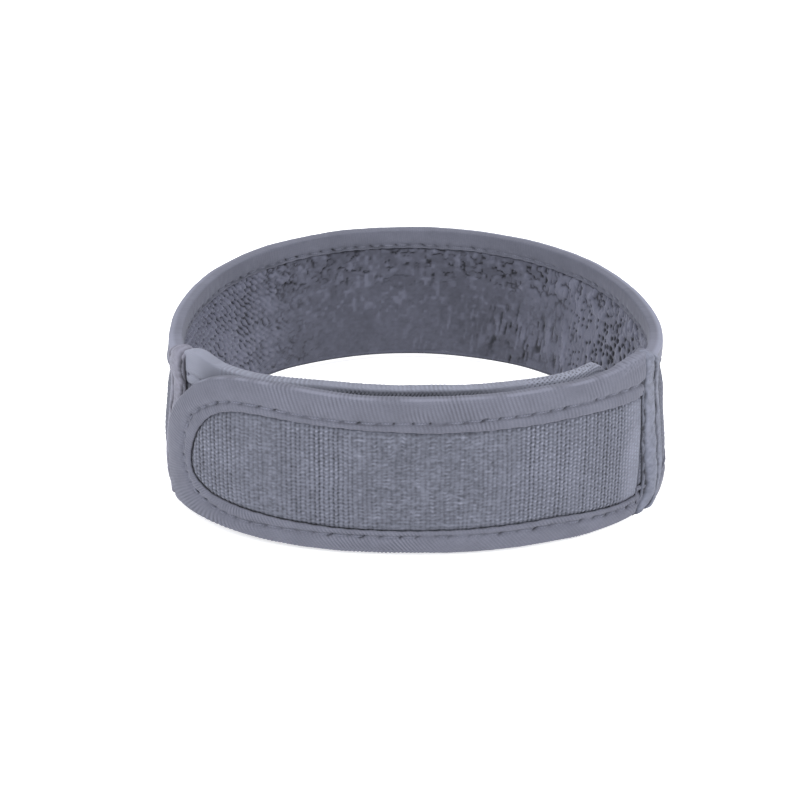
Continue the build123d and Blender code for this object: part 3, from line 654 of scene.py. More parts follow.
def bound_edge(name, rail, s0, s1, thick, off, slant, mats, ds=0.125, lip=0.42, pitch=PITCH, rib=0.52, amp=0.03, phase=0.0, roll=0.6, sq=0.62, rim=None, puff=1.0, shadow=0.5, extra=None, gain=None, ribs=None):
    """Tape folded over the edge of a strip: outside leg, rolled edge, inside leg, and the fold's inside."""
    n = max(8, int(round((s1 - s0) / ds)) + 1)
    s = np.linspace(s0, s1, n)
    O, S, R = rail.at(s)
    d = O - R
    L = np.linalg.norm(d, axis=1)
    e = d / L[:, None]
    seam = ((S - R) * e).sum(1)
    sl = slant(s)
    cols = []       # (a, depth, side) with side 1 outside, -1 inside, 0 hidden
    one = np.ones(n)
    for a, dd in ((0.5, lip + 0.08), (0.12, lip + 0.02), (-0.07, lip - 0.1), (-0.1, lip - 0.24), (-0.02, 0.08)):
        cols.append((a * one, dd * one, 0.35))
    n1 = 27
    for k in range(n1 + 1):
        cols.append((0.12 + (L - roll - 0.12) * k / n1, 0 * one, 1.0))
    for k in range(1, 12):
        th = math.radians(-90 + 15 * k)
        c, d1 = math.cos(th), math.sin(th)
        cols.append((L - roll + roll * c**sq, thick / 2 * (1 + math.copysign(abs(d1) ** sq, d1)) * one, c**0.5 if k < 6 else -(c**0.5)))
    n2 = 13
    for k in range(n2, -1, -1):
        cols.append((0.12 + (L - roll - 0.12) * k / n2, thick * one, -1.0))
    for a, dd in ((-0.02, 0.08), (-0.1, lip - 0.24), (-0.07, lip - 0.1), (0.12, lip + 0.02), (0.5, lip + 0.08)):
        cols.append((a * one, (thick - dd) * one, -0.35))
    for f, dd in ((0.35, 0.78), (0.72, 0.78), (None, 0.62), (None, 0.5), (None, 0.38), (0.72, 0.22), (0.35, 0.22)):
        a = L * f if f else L - (0.45 if dd == 0.5 else 0.6)
        cols.append((a, dd * thick * one, 0.0))
    A = np.stack([np.broadcast_to(c[0], (n,)) for c in cols], 1)
    D = np.stack([c[1] for c in cols], 1)
    side = np.array([c[2] for c in cols])
    SS = np.broadcast_to(s[:, None], A.shape)
    # the rim is pulled in and out by the stitches
    dsn = holes(SS, pitch, phase)
    A2 = A + (0.03 * np.cos(TAU * dsn / pitch) + 0.05 * noise(SS / 2.9, A * 0 + 1, 27)) * bell(A, 0.5) * (np.abs(side)[None, :] > 0)
    UZ = R[:, None, :] + e[:, None, :] * A2[..., None]
    P = place(UZ[..., 0], off(UZ[..., 0]) - D, UZ[..., 1])
    nrm = normals(P, True)
    mid = 5 + n1 // 2
    if (nrm[n // 2, mid] * outward(UZ[n // 2, mid, 0])).sum() < 0:
        nrm = -nrm
    g = 1.0 if gain is None else gain(SS)
    h, painted_light_and_tone = tape_relief(SS, A, seam[:, None], L[:, None], sl[:, None], pitch, rib, amp, phase=phase, puff=puff, shadow=shadow, gain=g)
    h = h * np.abs(side)
    painted_light_and_tone = painted_light_and_tone * (np.abs(side) > 0.3)
    rd = one if rim is None else rim(s)
    # painted shade in the crease where each leg of the tape tucks against the cloth
    lip_painted_shade = np.zeros_like(A)
    lip_painted_shade[:, [0, 1]] = 0.95 * rd[:, None]
    lip_painted_shade[:, 2] = 0.75 * rd
    lip_painted_shade[:, 3] = 0.4 * rd
    lip_painted_shade[:, [5 + n1 + 1 + 11 + n2 + 1 + 3, 5 + n1 + 1 + 11 + n2 + 1 + 4]] = 0.9
    painted_light_and_tone = np.where(lip_painted_shade > 0.05, np.maximum(painted_light_and_tone, lip_painted_shade), painted_light_and_tone)
    if extra is not None:
        arc = np.cumsum(np.hypot(np.diff(A, axis=1, prepend=A[:, :1]), np.diff(D, axis=1, prepend=D[:, :1])), 1)
        h, painted_light_and_tone = extra(UZ[..., 0], SS, A, side, L[:, None], h, painted_light_and_tone, arc)
    P = P + nrm * h[..., None]
    along = SS + sl[:, None] * A if ribs is None else ribs(SS, sl[:, None] * A)
    fab = np.stack([along, A, np.broadcast_to(side, A.shape) * 0 + 1.0 * (side < 0)], -1)
    return tube_of(name, P, painted_light_and_tone, fab, mats, mid, outward(np.array([UZ[n // 2, mid, 0]]))[0])


def rim_distance(rail, u, z):
    """How far points are inside a strip's rim; negative under the tape."""
    v = rail.v[::12]
    ru, rz = v[:, 4], v[:, 5]
    pts = np.stack([u.ravel(), z.ravel()], 1)
    best = np.full(len(pts), 1e9)
    near = np.zeros(len(pts), int)
    for k in range(0, len(pts), 4000):
        d = (pts[k:k + 4000, None, 0] - ru) ** 2 + (pts[k:k + 4000, None, 1] - rz) ** 2
        near[k:k + 4000] = d.argmin(1)
        best[k:k + 4000] = np.sqrt(d.min(1))
    # positive on the side away from the outer edge
    out = np.stack([v[near, 0] - ru[near], v[near, 1] - rz[near]], 1)
    out /= np.maximum(np.linalg.norm(out, axis=1, keepdims=True), 1e-9)
    rel = ((pts - np.stack([ru[near], rz[near]], 1)) * out).sum(1)
    return (-np.sign(rel) * best).reshape(u.shape), rail.s[::12][near].reshape(u.shape)


def cloth_columns(rail, u_a, u_b, du, tuck=1.0):
    """Stations, and the lowest and highest height of the cloth at each, tucked under the tape."""
    v = rail.v
    d = v[:, 0:2] - v[:, 4:6]
    e = d / np.linalg.norm(d, axis=1, keepdims=True)
    E = v[:, 4:6] + e * tuck
    tip = int(np.argmax(np.abs(E[:, 0] - E[0, 0])))
    sign = np.sign(E[tip, 0] - E[0, 0])
    end = E[tip, 0] - sign * 0.004
    if (u_b - end) * sign > 0:
        u_b = end
    n = int(round(abs(u_b - u_a) / du))
    n += (-n) % 4
    u = np.linspace(u_a, u_b, n + 1)
    if u_b == end:      # closer columns where the end is round
        t = np.linspace(0, 1, n + 1)
        w = np.where(t < 0.9, t * 0.975 / 0.9, 0)
        far = t >= 0.9
        w[far] = 0.975 + 0.025 * np.sin((t[far] - 0.9) / 0.1 * math.pi / 2)
        u = u_a + (u_b - u_a) * w
    top, bot = E[: tip + 1], E[tip:]
    mt = np.maximum.accumulate(top[:, 0] * sign) * sign
    mb = np.maximum.accumulate(bot[::-1, 0] * sign) * sign
    zt = np.interp(u * sign, mt * sign, top[:, 1])
    zb = np.interp(u * sign, mb * sign, bot[::-1, 1])
    return u, np.minimum(zb, zt - 0.02), zt


def bound_cloth(name, rail, u_a, u_b, thick, off, relief, mats, du=0.13, rows=112, lip=0.42, back_relief=None, k=2, rim=None):
    """The cloth inside a taped rim: a fine face and a plainer back."""
    u, zb, zt = cloth_columns(rail, u_a, u_b, du)
    v = np.linspace(0, 1, rows + 1)
    U = np.broadcast_to(u[:, None], (len(u), rows + 1))
    Z = zb[:, None] + (zt - zb)[:, None] * v[None, :]
    D, S = rim_distance(rail, U, Z)
    inside = ramp(D, -0.15, 0.75)
    h, painted_light_and_tone = relief(U, Z, D, S)
    depth = lip + 0.10 - (0.26 + 0.10 * ramp(D, 0.3, 5)) * inside - h * ramp(D, -0.05, 0.35)
    rd = 1.0 if rim is None else rim(S)
    # painted shade in the crease along the tape's rim, and under the tape
    painted_light_and_tone = np.clip(painted_light_and_tone * ramp(D, -0.2, 0.2) + 0.9 * rd * bell(D - 0.02, 0.17) + (D < 0) * 0.6, -0.6, 1)
    F = place(U, off(U) - depth, Z)
    hb, cb = (0, 0) if back_relief is None else back_relief(U, Z, D, S)
    dback = thick - (lip + 0.10) + 0.30 * inside + hb * inside
    B = place(U, off(U) - dback, Z)
    fab = np.stack([U, Z, np.zeros_like(U)], -1)
    fb = np.stack([U, Z, np.ones_like(U) * 9], -1)
    ref = outward(np.array([u[len(u) // 2]]))[0]
    return slab(name, F, B, k, painted_light_and_tone, fab, mats, ref, fb, np.broadcast_to(cb * inside, U.shape) + 0.0)


def stitches(name, centre, length, mats, pitch=PITCH, phase=0.0, r=0.165, rise=0.12, start=0.0, gap=0.26, sides=8, rings=9, seed=1):
    """Separate lockstitches. centre(s) gives the seam's point, its outward normal and the valley's floor."""
    k0, k1 = math.ceil((start - phase) / pitch) + 0, math.floor((start + length - phase) / pitch)
    ks = np.arange(k0, k1)
    if not len(ks):
        return None
    t = np.linspace(0, 1, rings)
    j = 0.22 * (hash2(ks, ks * 0 + 3, 5) - 0.5)
    j2 = 0.22 * (hash2(ks + 1, ks * 0 + 3, 5) - 0.5)
    a = phase + (ks + j) * pitch + gap / 2
    b = phase + (ks + 1 + j2) * pitch - gap / 2
    s = a[:, None] + (b - a)[:, None] * t[None, :]
    p, nrm, side = centre(s)
    arch = np.sin(math.pi * t) ** 0.55
    lift = -0.30 + (0.30 + rise) * arch
    wander = 0.05 * (hash2(ks, ks * 0 + 9, seed) - 0.5)[:, None] * np.sin(math.pi * t)[None, :]
    p = p + nrm * lift[None, :, None] + side * wander[..., None] * 2
    tan = np.gradient(p, axis=1)
    tan /= np.linalg.norm(tan, axis=-1, keepdims=True)
    bi = np.cross(tan, nrm)
    bi /= np.linalg.norm(bi, axis=-1, keepdims=True)
    nn = np.cross(bi, tan)
    rad = r * (0.62 + 0.38 * np.sin(math.pi * t) ** 0.4)
    ph = np.arange(sides) * TAU / sides
    ring = (
        nn[:, :, None, :] * np.cos(ph)[None, None, :, None] * rad[None, :, None, None]
        + bi[:, :, None, :] * np.sin(ph)[None, None, :, None] * rad[None, :, None, None] * 1.15
    )
    V = p[:, :, None, :] + ring
    n = len(ks)
    q, caps = [], []
    for i in range(n):
        base = i * rings * sides
        q.append(grid_quads(rings, sides, True, True, base))
        caps.append(list(range(base, base + sides))[::-1][::-1])
        caps.append(list(range(base + (rings - 1) * sides, base + rings * sides))[::-1])
    fab = np.stack(np.broadcast_arrays(s[:, :, None], (ph * r)[None, None, :], 0.0), -1)
    # painted shade where the thread dives into the cloth at each end
    painted_light_and_tone = np.broadcast_to((0.55 * (1 - arch))[None, :, None], V.shape[:3])
    ob = make(name, V, np.concatenate(q), caps, painted_light_and_tone, fab, None, mats)
    return ob


def seam_on(rail, off, depth_of, side_sign=1.0):
    """centre() for a seam along a rail, on the outer (1) or inner (-1) face."""
    def centre(s):
        flat = s.ravel()
        _, S, _ = rail.at(flat)
        p = place(S[:, 0], off(S[:, 0]) - depth_of, S[:, 1])
        nr = outward(S[:, 0]) * side_sign
        p = p - nr * 0.24
        d = np.gradient(p, axis=0)
        sd = np.cross(nr, d)
        sd /= np.maximum(np.linalg.norm(sd, axis=1, keepdims=True), 1e-9)
        sh = s.shape + (3,)
        return p.reshape(sh), nr.reshape(sh), sd.reshape(sh)
    return centre


# ================================================================ tab
CUT_A, CUT_B = -21.6, -0.9      # between hinges; a whole number of ribs apart
SA_T, SB_T = TAB.s_at_u(CUT_A, True), TAB.s_at_u(CUT_B, True)
SA_B, SB_B = TAB.s_at_u(CUT_A, False), TAB.s_at_u(CUT_B, False)
S_END = TAB.s[-1]


def tab_slant(s):
    """Lean of the tape's ribs: slight along the top, square at the tip, diagonal along the bottom."""
    tip0, tip1 = TAB.s_at_u(24, True), TAB.s_at_u(28, False)
    return -0.30 * (1 - ramp(s, tip0, tip0 + 8)) - 0.85 * ramp(s, tip1 - 6, tip1 + 8)


WALE = (CUT_B - CUT_A) / 34     # 0.61 mm


def panel_relief(U, Z, D, S):
    """Ribs of the outer knit, with a half-drop stitch every half millimetre along them."""
    calm = ramp(U, -30.6, -27.0)                            # flatter near the joint
    middle = np.clip(1.25 * bell(U - 0.5, 11.0) + 0.75 * bell(U - 20.5, 5.5) + 0.30 * noise(U / 1.9, Z / 14, 30) * bell(U, 24) - 0.35 * bell(U - 11.5, 2.0), 0, 1)     # where the ribs blur
    wob = 0.10 * noise(U * 0.35, Z * 0.25, 31) + 0.05 * noise(U * 1.1, Z * 0.7, 32)
    x = U - CUT_A + wob * (0.35 + middle)
    which = np.round(x / WALE)
    each = 0.72 + 0.56 * hash2(which, which * 0, 35)
    z2 = Z + 0.265 * np.mod(which, 2) + 0.08 * noise(U * 0.8, Z * 0.8, 33)
    dot = 0.5 + 0.5 * np.cos(TAU * z2 / 0.53)
    pair = 0.5 + 0.5 * np.cos(TAU * z2 / 1.06)
    zig = 0.055 * np.sin(TAU * z2 / 1.06)
    gap = 0.5 + 0.5 * np.cos(TAU * (Z + 0.13 + 0.08 * noise(U * 0.8, Z * 0.8, 33)) / 0.53)
    wave = 0.5 + 0.5 * np.cos(TAU * (x + zig * (1 - middle)) / WALE)
    rib = wave ** 0.75
    amp = 0.105 * (1 - 0.78 * middle) * (0.20 + 0.80 * calm) * each
    da = 0.095 * (0.45 + 0.55 * calm) * (1 - 0.6 * middle)
    spot = dot * (0.62 + 0.38 * pair)
    h = amp * (rib - 0.6) + da * spot * (0.35 + 0.65 * wave)
    # middle: short level dashes in loose columns
    col = np.mod(U + 0.35 * noise(U / 6, Z / 5, 38), 1.83) - 0.915
    strong = 0.22 + 0.78 * bell(col, 0.40) * np.clip(0.75 + 0.5 * noise(U / 3, Z / 2.2, 39), 0, 1)
    zz = Z + 0.16 * noise(U / 1.2, Z / 1.6, 40) + 0.14 * noise(U / 0.5, Z / 3, 42)
    dash = (0.5 + 0.5 * np.cos(TAU * zz / 0.55)) * np.clip(0.74 + 0.70 * noise(U / 0.42, Z / 0.42, 43), 0, 1.2)
    h = h + middle * (0.085 * dash * strong + 0.03 * noise(U / 0.45, Z / 0.5, 44)) + 0.03 * noise(U / 1.7, Z / 1.1, 34) * (0.5 + middle)
    patch = np.clip(0.6 + 0.6 * noise(U / 3.5, Z / 3.0, 36), 0.2, 1.2)
    side = 1 - middle
    # painted shade in the valleys between the ribs and painted highlights on the stitch dots along their crests; darker
    # in the middle, paler at the sides and by the joint, with random specks
    painted_light_and_tone = 0.80 * (1 - wave) ** 1.35 * (1 - 0.80 * middle) * (0.25 + 0.75 * calm) * each * (0.55 + 0.75 * gap)
    painted_light_and_tone = painted_light_and_tone + 0.46 * (1 - spot) * wave * side * (0.5 + 0.5 * calm) - 1.10 * (spot * wave) ** 1.7 * patch * side
    painted_light_and_tone = painted_light_and_tone + middle * (0.33 - 0.80 * np.clip(dash - 0.35, 0, 1) * strong + 0.45 * np.clip(0.3 - dash, 0, 1) * strong)
    speck = noise(U / 0.42, Z / 0.20, 46)
    h = h + 0.022 * speck * (0.4 + 0.6 * middle)
    painted_light_and_tone = painted_light_and_tone + (0.22 * speck + 0.10 * noise(U / 0.20, Z / 0.17, 47)) * (1 - 0.35 * side)
    painted_light_and_tone = painted_light_and_tone + 0.12 * noise(U / 0.6, Z / 0.5, 45) * (1 - 0.4 * side) - 0.12 * side - 0.08 * (1 - calm)
    return h, painted_light_and_tone


def rim_shade(s):
    """How dark the crease at the tape's rim is: deep round the lower tip, slight along the top."""
    a, b = TAB.s_at_u(22, True), TAB.s_at_u(10, False)
    deep = ramp(s, a + 6, a + 16) * (1 - ramp(s, b - 6, b + 6))
    low = ramp(s, b - 8, b + 4)
    return np.clip(0.13 + 0.80 * deep + 0.34 * low * (1 - deep) + 0.16 * noise(s / 1.1, s * 0, 37), 0.02, 1)


def hook_back(U, Z, D, S):
    return 0.02 * noise(U / 0.9, Z / 0.9, 51), 0.15


def tab_extra(u, s, a, side, width, h, painted_light_and_tone, arc):
    """A painted highlight along the upper edge, and a scrap of open net caught in it near the joint."""
    top = (s < TAB.s_at_u(30, True)) * 1.0
    # painted highlight along the top of the tape's roll
    painted_light_and_tone = painted_light_and_tone - 0.62 * top * ramp(a, width - 0.2, width - 0.06) * np.clip(0.6 + 0.7 * noise(s / 1.5, a * 0, 28), 0, 1) * (side > 0)
    mid = bell(u, 9.0) * top
    painted_light_and_tone = painted_light_and_tone + 0.11 * mid * (a < width - 0.5)
    net = ramp(-u, 26.2, 27.4) * (1 - ramp(-u, 31.0, 32.0)) * top * ramp(a, width - 1.25, width - 0.85) * (np.abs(side) > 0)
    g = np.clip(np.cos(TAU * (s + 0.5 * a) / 0.62) * np.cos(TAU * a / 0.55), 0, 1)
    h = h + net * (0.10 - 0.12 * g)
    painted_light_and_tone = painted_light_and_tone + net * (0.50 * g - 0.30)
    return h, np.clip(painted_light_and_tone, -0.5, 1)


def tab_gain(s):
    return 1.0 + 0.7 * ramp(s, TAB.s_at_u(28, False) - 6, TAB.s_at_u(24, False))


tape_m = [M_TAPE]
pieces_tab = []
for nm, ua, ub, runs in (
    ("root", -33.3, CUT_A, ((0.1, SA_T), (SA_B, S_END - 0.1))),
    ("middle", CUT_A, CUT_B, ((SA_T, SB_T), (SB_B, SA_B))),
    ("tip", CUT_B, 40.0, ((SB_T, SB_B),)),
):
    cloth = bound_cloth("tab_panel_" + nm, TAB, ua, ub, T_TAB, off_tab_sewn, panel_relief, [M_PANEL, M_HOOK if nm != "root" else M_SHELL], du=WALE / 8, rows=136, back_relief=hook_back, rim=rim_shade)
    got = [cloth]
    for k, (s0, s1) in enumerate(runs):
        got.append(bound_edge("tab_binding_" + nm + ("_top", "_bottom")[k] if len(runs) > 1 else "tab_binding_" + nm, TAB, s0, s1, T_TAB, off_tab_sewn, tab_slant, tape_m, rim=rim_shade, extra=tab_extra, gain=tab_gain))
    pieces_tab.append(got)


def run_stitches(name, rail, off, depth, runs, side, mats, pitch=PITCH, phase=0.0, **kw):
    out = []
    for k, (s0, s1) in enumerate(runs):
        ob = stitches(name + ("" if len(runs) == 1 else ("_top", "_bottom")[k]), seam_on(rail, off, depth, side), s1 - s0, mats, pitch, phase, start=s0, **kw)
        if ob:
            out.append(ob)
    return out


for i, (nm, runs) in enumerate((
    ("root", ((1.2, SA_T), (SA_B, S_END - 1.2))),
    ("middle", ((SA_T, SB_T), (SB_B, SA_B))),
    ("tip", ((SB_T, SB_B),)),
)):
    pieces_tab[i] += run_stitches("tab_stitches_" + nm, TAB, off_tab_sewn, 0.0, runs, 1.0, [M_THREAD], r=0.14, rise=0.06)
    pieces_tab[i] += run_stitches("tab_stitches_inside_" + nm, TAB, off_tab_sewn, T_TAB, runs, -1.0, [M_THREAD])

# ================================================================ underlay
UE = UND.s[-1]


def und_slant(s):
    return 0.55 + 0 * s


def loop_relief(U, Z, D, S):
    f1, f2, w = bumps(U / 0.62, Z / 0.62, 61)
    h = 0.14 * np.clip(1 - (f1 / 0.75) ** 2, 0, 1) * (0.6 + 0.4 * w)
    # painted shade between the loops
    return h - 0.05, 0.45 * np.clip(f1 - 0.4, 0, 1)


def und_back(U, Z, D, S):
    f1, f2, w = bumps(U / 0.9, Z / 0.9, 62)
    # painted shade between the bumps
    return 0.14 * np.clip(1 - (f1 / 0.7) ** 2, 0, 1), 0.3 * np.clip(f1 - 0.4, 0, 1)


und_cloth = bound_cloth("underlay_cloth", UND, 34.8, -40.0, T_UND, off_under, loop_relief, [M_LOOP, M_LINER], du=0.2, rows=80, lip=0.38, back_relief=und_back, k=2)
def und_extra(u, s, a, side, width, h, painted_light_and_tone, arc):
    """Open net near the free end, bolder slanting ribs along the middle, smooth by the joint."""
    first = (s < UE / 2) * 1.0
    net = ramp(-u, 12.5, 16.0) * first
    g = np.cos(TAU * s / 0.76) * np.cos(TAU * arc / 0.66)
    dot = np.clip(g, 0, 1)
    on = net * ramp(a, 0.1, 0.4)
    crest = ramp(a, width - 0.5, width - 0.05)
    h = h * (1 - 0.85 * net) - 0.11 * dot ** 1.5 * on
    painted_light_and_tone = painted_light_and_tone * (1 - 0.9 * net) + on * ((1.45 + 0.2 * crest) * dot ** 1.2 - 0.76 + 0.50 * crest)
    mid = ramp(u, -14, -10) * (1 - ramp(u, 20, 26))
    rib = np.cos(TAU * (s + 0.6 * a) / 0.60)
    lean = mid * np.clip(np.abs(side), 0, 1) * ramp(a - (width - 1.5), -1.6, 0.4) * np.clip(0.6 + 0.7 * noise(s / 3.0, a, 64), 0.1, 1.2)
    h = h + 0.04 * rib * lean * (1 - net)
    # painted shade in the rib valleys
    painted_light_and_tone = painted_light_and_tone + lean * (1 - net) * (0.30 * (0.5 - 0.5 * rib) - 0.06)
    # the outside leg in the tab's shadow: dark, with darker ticks between the ribs
    deep = ramp(u, -12, -6) * (1 - ramp(u, 9, 17)) * first * (side > 0.5) * ramp(width - a, 0.22, 0.50)
    tick = np.clip(np.cos(TAU * (s - 0.7 * a) / 0.47), 0, 1) ** 1.2 * bell(width - a - 0.84, 0.30) * np.clip(0.7 + 0.7 * noise(s / 2.0, a * 0, 65), 0, 1)
    painted_light_and_tone = painted_light_and_tone + deep * (0.46 + 0.8 * tick)
    h = h - 0.12 * deep * tick
    smooth = ramp(u, 25.5, 28.5) * first
    plain = 0.10 * np.sin(math.pi * np.clip(a / width, 0, 1)) + 0.03 * noise(s / 2.0, a / 1.5, 66)
    keep = 1 - smooth * ramp(a, 0, 0.4) * (1 - bell(a - (width - 3.4), 0.5))
    h = h * keep + plain * smooth
    painted_light_and_tone = painted_light_and_tone * keep - 0.13 * ramp(u, 29, 32) * first + 0.05 * smooth * noise(s / 1.4, a / 1.1, 67)
    return h, np.clip(painted_light_and_tone, -0.7, 1)


def und_ribs(s, lean):
    """The weave's lengthwise coordinate, stretched where the pad by the joint is smooth."""
    return np.interp(s, [0, 6.8, 10.4, 400], [0, 0.5, 2.4, 392.0]) + lean * np.interp(s, [6.8, 10.4], [0.06, 1])


und_tape = bound_edge("underlay_binding", UND, 0.05, UE - 0.05, T_UND, off_under, und_slant, [M_UTAPE], ds=0.125, lip=0.38, rib=0.6, amp=0.022, roll=0.46, sq=0.55, extra=und_extra, ribs=und_ribs)
und_out = run_stitches("underlay_stitches", UND, off_under, 0.0, ((1.0, UE - 1.0),), 1.0, [M_THREAD])
und_in = run_stitches("underlay_stitches_inside", UND, off_under, T_UND, ((1.0, UE - 1.0),), -1.0, [M_THREAD])

# ================================================================ back section
UL, UR = U_LEFT, LOOP + U_RIGHT


def back_keys(top):
    us = np.linspace(UL, UR, 40)
    if top:
        return np.stack([us, us * 0 + H_BACK, us, us * 0 + H_BACK - 2.6, us, us * 0 + H_BACK - 3.0], -1)
    return np.stack([us, us * 0 + 0.0, us, us * 0 + 2.5, us, us * 0 + 3.3], -1)


BT, BB = Rail(back_keys(True), 3000), Rail(back_keys(False), 3000)


def off_rim(u):
    """The back's upper edge leans in a little at the sides."""
    u = np.mod(u, LOOP)
    return off_back(u) - 0.32 * (bell(u - 52, 15) + bell(u - (LOOP - 50), 15)) - 0.38 * bell(u - (LOOP - 42.5), 6.0) - 0.28 * bell(u - 46, 5.0)


def swell(u, z):
    """The back's outer knit bulges at the sides, where the band turns."""
    u = np.mod(u, LOOP)
    left = ramp(u, 33.5, 38) * (1 - ramp(u, 60, 84))
    right = ramp(u, LOOP - 84, LOOP - 60) * (1 - ramp(u, LOOP - 35.0, LOOP - 31.5))
    return 0.78 * left * bell(z - 6.5, 5.6) + 0.86 * right * bell(z - 4.0, 6.5)


def foot_rise(u):
    """How far the inside of the back's lower edge curls up."""
    u = np.mod(u, LOOP)
    return 0.26 + 1.05 * (1 - ramp(u, 68, 98)) + 0.66 * ramp(u, 118, 142)


def back_slant(s):
    return 0.15 + 0 * s


def back_extra(u, s, a, side, width, h, painted_light_and_tone, arc):
    """Smooth inside tape that pales towards the joints, painted shade along its seam, a painted highlight on the rim,
    and a lobe by the left joint.
    """
    inner = (side < 0) * 1.0
    far = ramp(u, LOOP - 112, LOOP - 84)
    seam = bell(a - 0.4, 0.75)
    painted_light_and_tone = np.where(painted_light_and_tone > 0, painted_light_and_tone * (1 - 0.85 * inner * far * seam), painted_light_and_tone)
    # painted shade along the seam on the inside, away from the right joint
    painted_light_and_tone = painted_light_and_tone + inner * (1 - far) * 0.22 * seam * np.clip(noise(s / 0.9, a / 0.4, 88), 0, 1) * 0.6
    ends = 1 - ramp(u, 37.5, 47) + ramp(u, LOOP - 47, LOOP - 37)
    painted_light_and_tone = painted_light_and_tone - 0.34 * ends - 0.10 * inner * (1 - ramp(u, 60, 84))
    # painted highlight along the top of the outside leg
    lit = ramp(a, width - 0.42, width - 0.12) * (side > 0) * (0.25 + 0.75 * ramp(u, LOOP - 118, LOOP - 90) + 0.4 * (1 - ramp(u, 60, 84)))
    painted_light_and_tone = painted_light_and_tone - 1.1 * lit
    lobe = bell(u - 39.9, 2.4) * bell(a - 0.9, 1.35) * (side > 0)
    h = h + 0.55 * lobe
    # painted shade at the tape's edge below the lobe
    painted_light_and_tone = painted_light_and_tone + 0.5 * bell(u - 39.9, 2.8) * bell(a + 0.0, 0.35) * (side > 0)
    return h, np.clip(painted_light_and_tone, -1, 1)


back_top = bound_edge("back_top_binding_tape", BT, 0.02, BT.s[-1] - 0.02, T_BACK, off_rim, back_slant, [M_TOP], ds=0.16, lip=0.36, roll=0.42, sq=0.5, amp=0.010, puff=0.35, shadow=0.75, extra=back_extra, gain=lambda s: 0.35 + 0 * s)

# lower edge: outside leg and a fold that stops at the lining's foot
def bottom_edge(name, rail, s0, s1, mats, ds=0.17):
    n = int(round((s1 - s0) / ds)) + 1
    s = np.linspace(s0, s1, n)
    O, S, R = rail.at(s)
    L = np.abs(O[:, 1] - R[:, 1])
    seam = np.abs(S[:, 1] - R[:, 1])
    one = np.ones(n)
    cols = [(0.5 * one, 0.44 * one, 0.3), (0.1 * one, 0.38 * one, 0.3), (-0.07 * one, 0.24 * one, 0.3), (-0.02 * one, 0.08 * one, 0.35)]
    n1 = 22
    for k in range(n1 + 1):
        cols.append((0.12 + (L - 0.5 - 0.12) * k / n1, 0 * one, 1.0))
    for k in range(1, 12):
        th = math.radians(-90 + 15 * k)
        c, d1 = math.cos(th), math.sin(th)
        cols.append((L - 0.5 + 0.5 * c**0.6, 0.82 * (1 + math.copysign(abs(d1) ** 0.6, d1)) * one, 0.5 * c**0.5))
    cols += [((L - 0.75), 1.62 * one, 0.2), ((L - 1.0), 1.5 * one, 0.0), (L - 0.8, 1.2 * one, 0.0), (L - 0.5, 0.82 * one, 0.0), (L - 0.8, 0.45 * one, 0.0), (L * 0.45, 0.42 * one, 0.0)]
    A = np.stack([c[0] for c in cols], 1)
    D = np.stack([c[1] for c in cols], 1)
    side = np.array([c[2] for c in cols])
    SS = np.broadcast_to(s[:, None], A.shape)
    U = np.broadcast_to(O[:, None, 0], A.shape)
    Z = R[:, None, 1] - A
    P = place(U, off_back(U) + swell(U, Z) * np.clip(1 - D / 1.6, 0, 1) - D, Z)
    nrm = normals(P, True)
    mid = 4 + n1 // 2
    if (nrm[n // 2, mid] * outward(U[n // 2, mid])).sum() < 0:
        nrm = -nrm
    h, painted_light_and_tone = tape_relief(SS, A, seam[:, None], L[:, None], 0.15, amp=0.022)
    P = P + nrm * (h * side)[..., None]
    P[..., 2] = P[..., 2] + foot_rise(U) * ramp(D, 0.35, 1.5) * np.clip(1 - Z / 6, 0, 1)
    dip = 0.62 * ramp(U, LOOP - 50, LOOP - 36) * np.clip(1 - Z / 3.0, 0, 1) * np.clip(1.25 - D / 1.64, 0, 1)
    P[..., 2] = np.maximum(P[..., 2], 0.0) - dip
    painted_light_and_tone = painted_light_and_tone * (side > 0.25)
    # painted shade in the crease at the tape's lower lip
    painted_light_and_tone[:, 0:2] = 0.9
    fab = np.stack([SS + 0.15 * A, A, 0 * A], -1)
    return tube_of(name, P, painted_light_and_tone, fab, mats, mid, outward(np.array([U[n // 2, mid]]))[0])


back_bottom = bottom_edge("back_bottom_binding_tape", BB, 0.02, BB.s[-1] - 0.02, [M_TAPE])


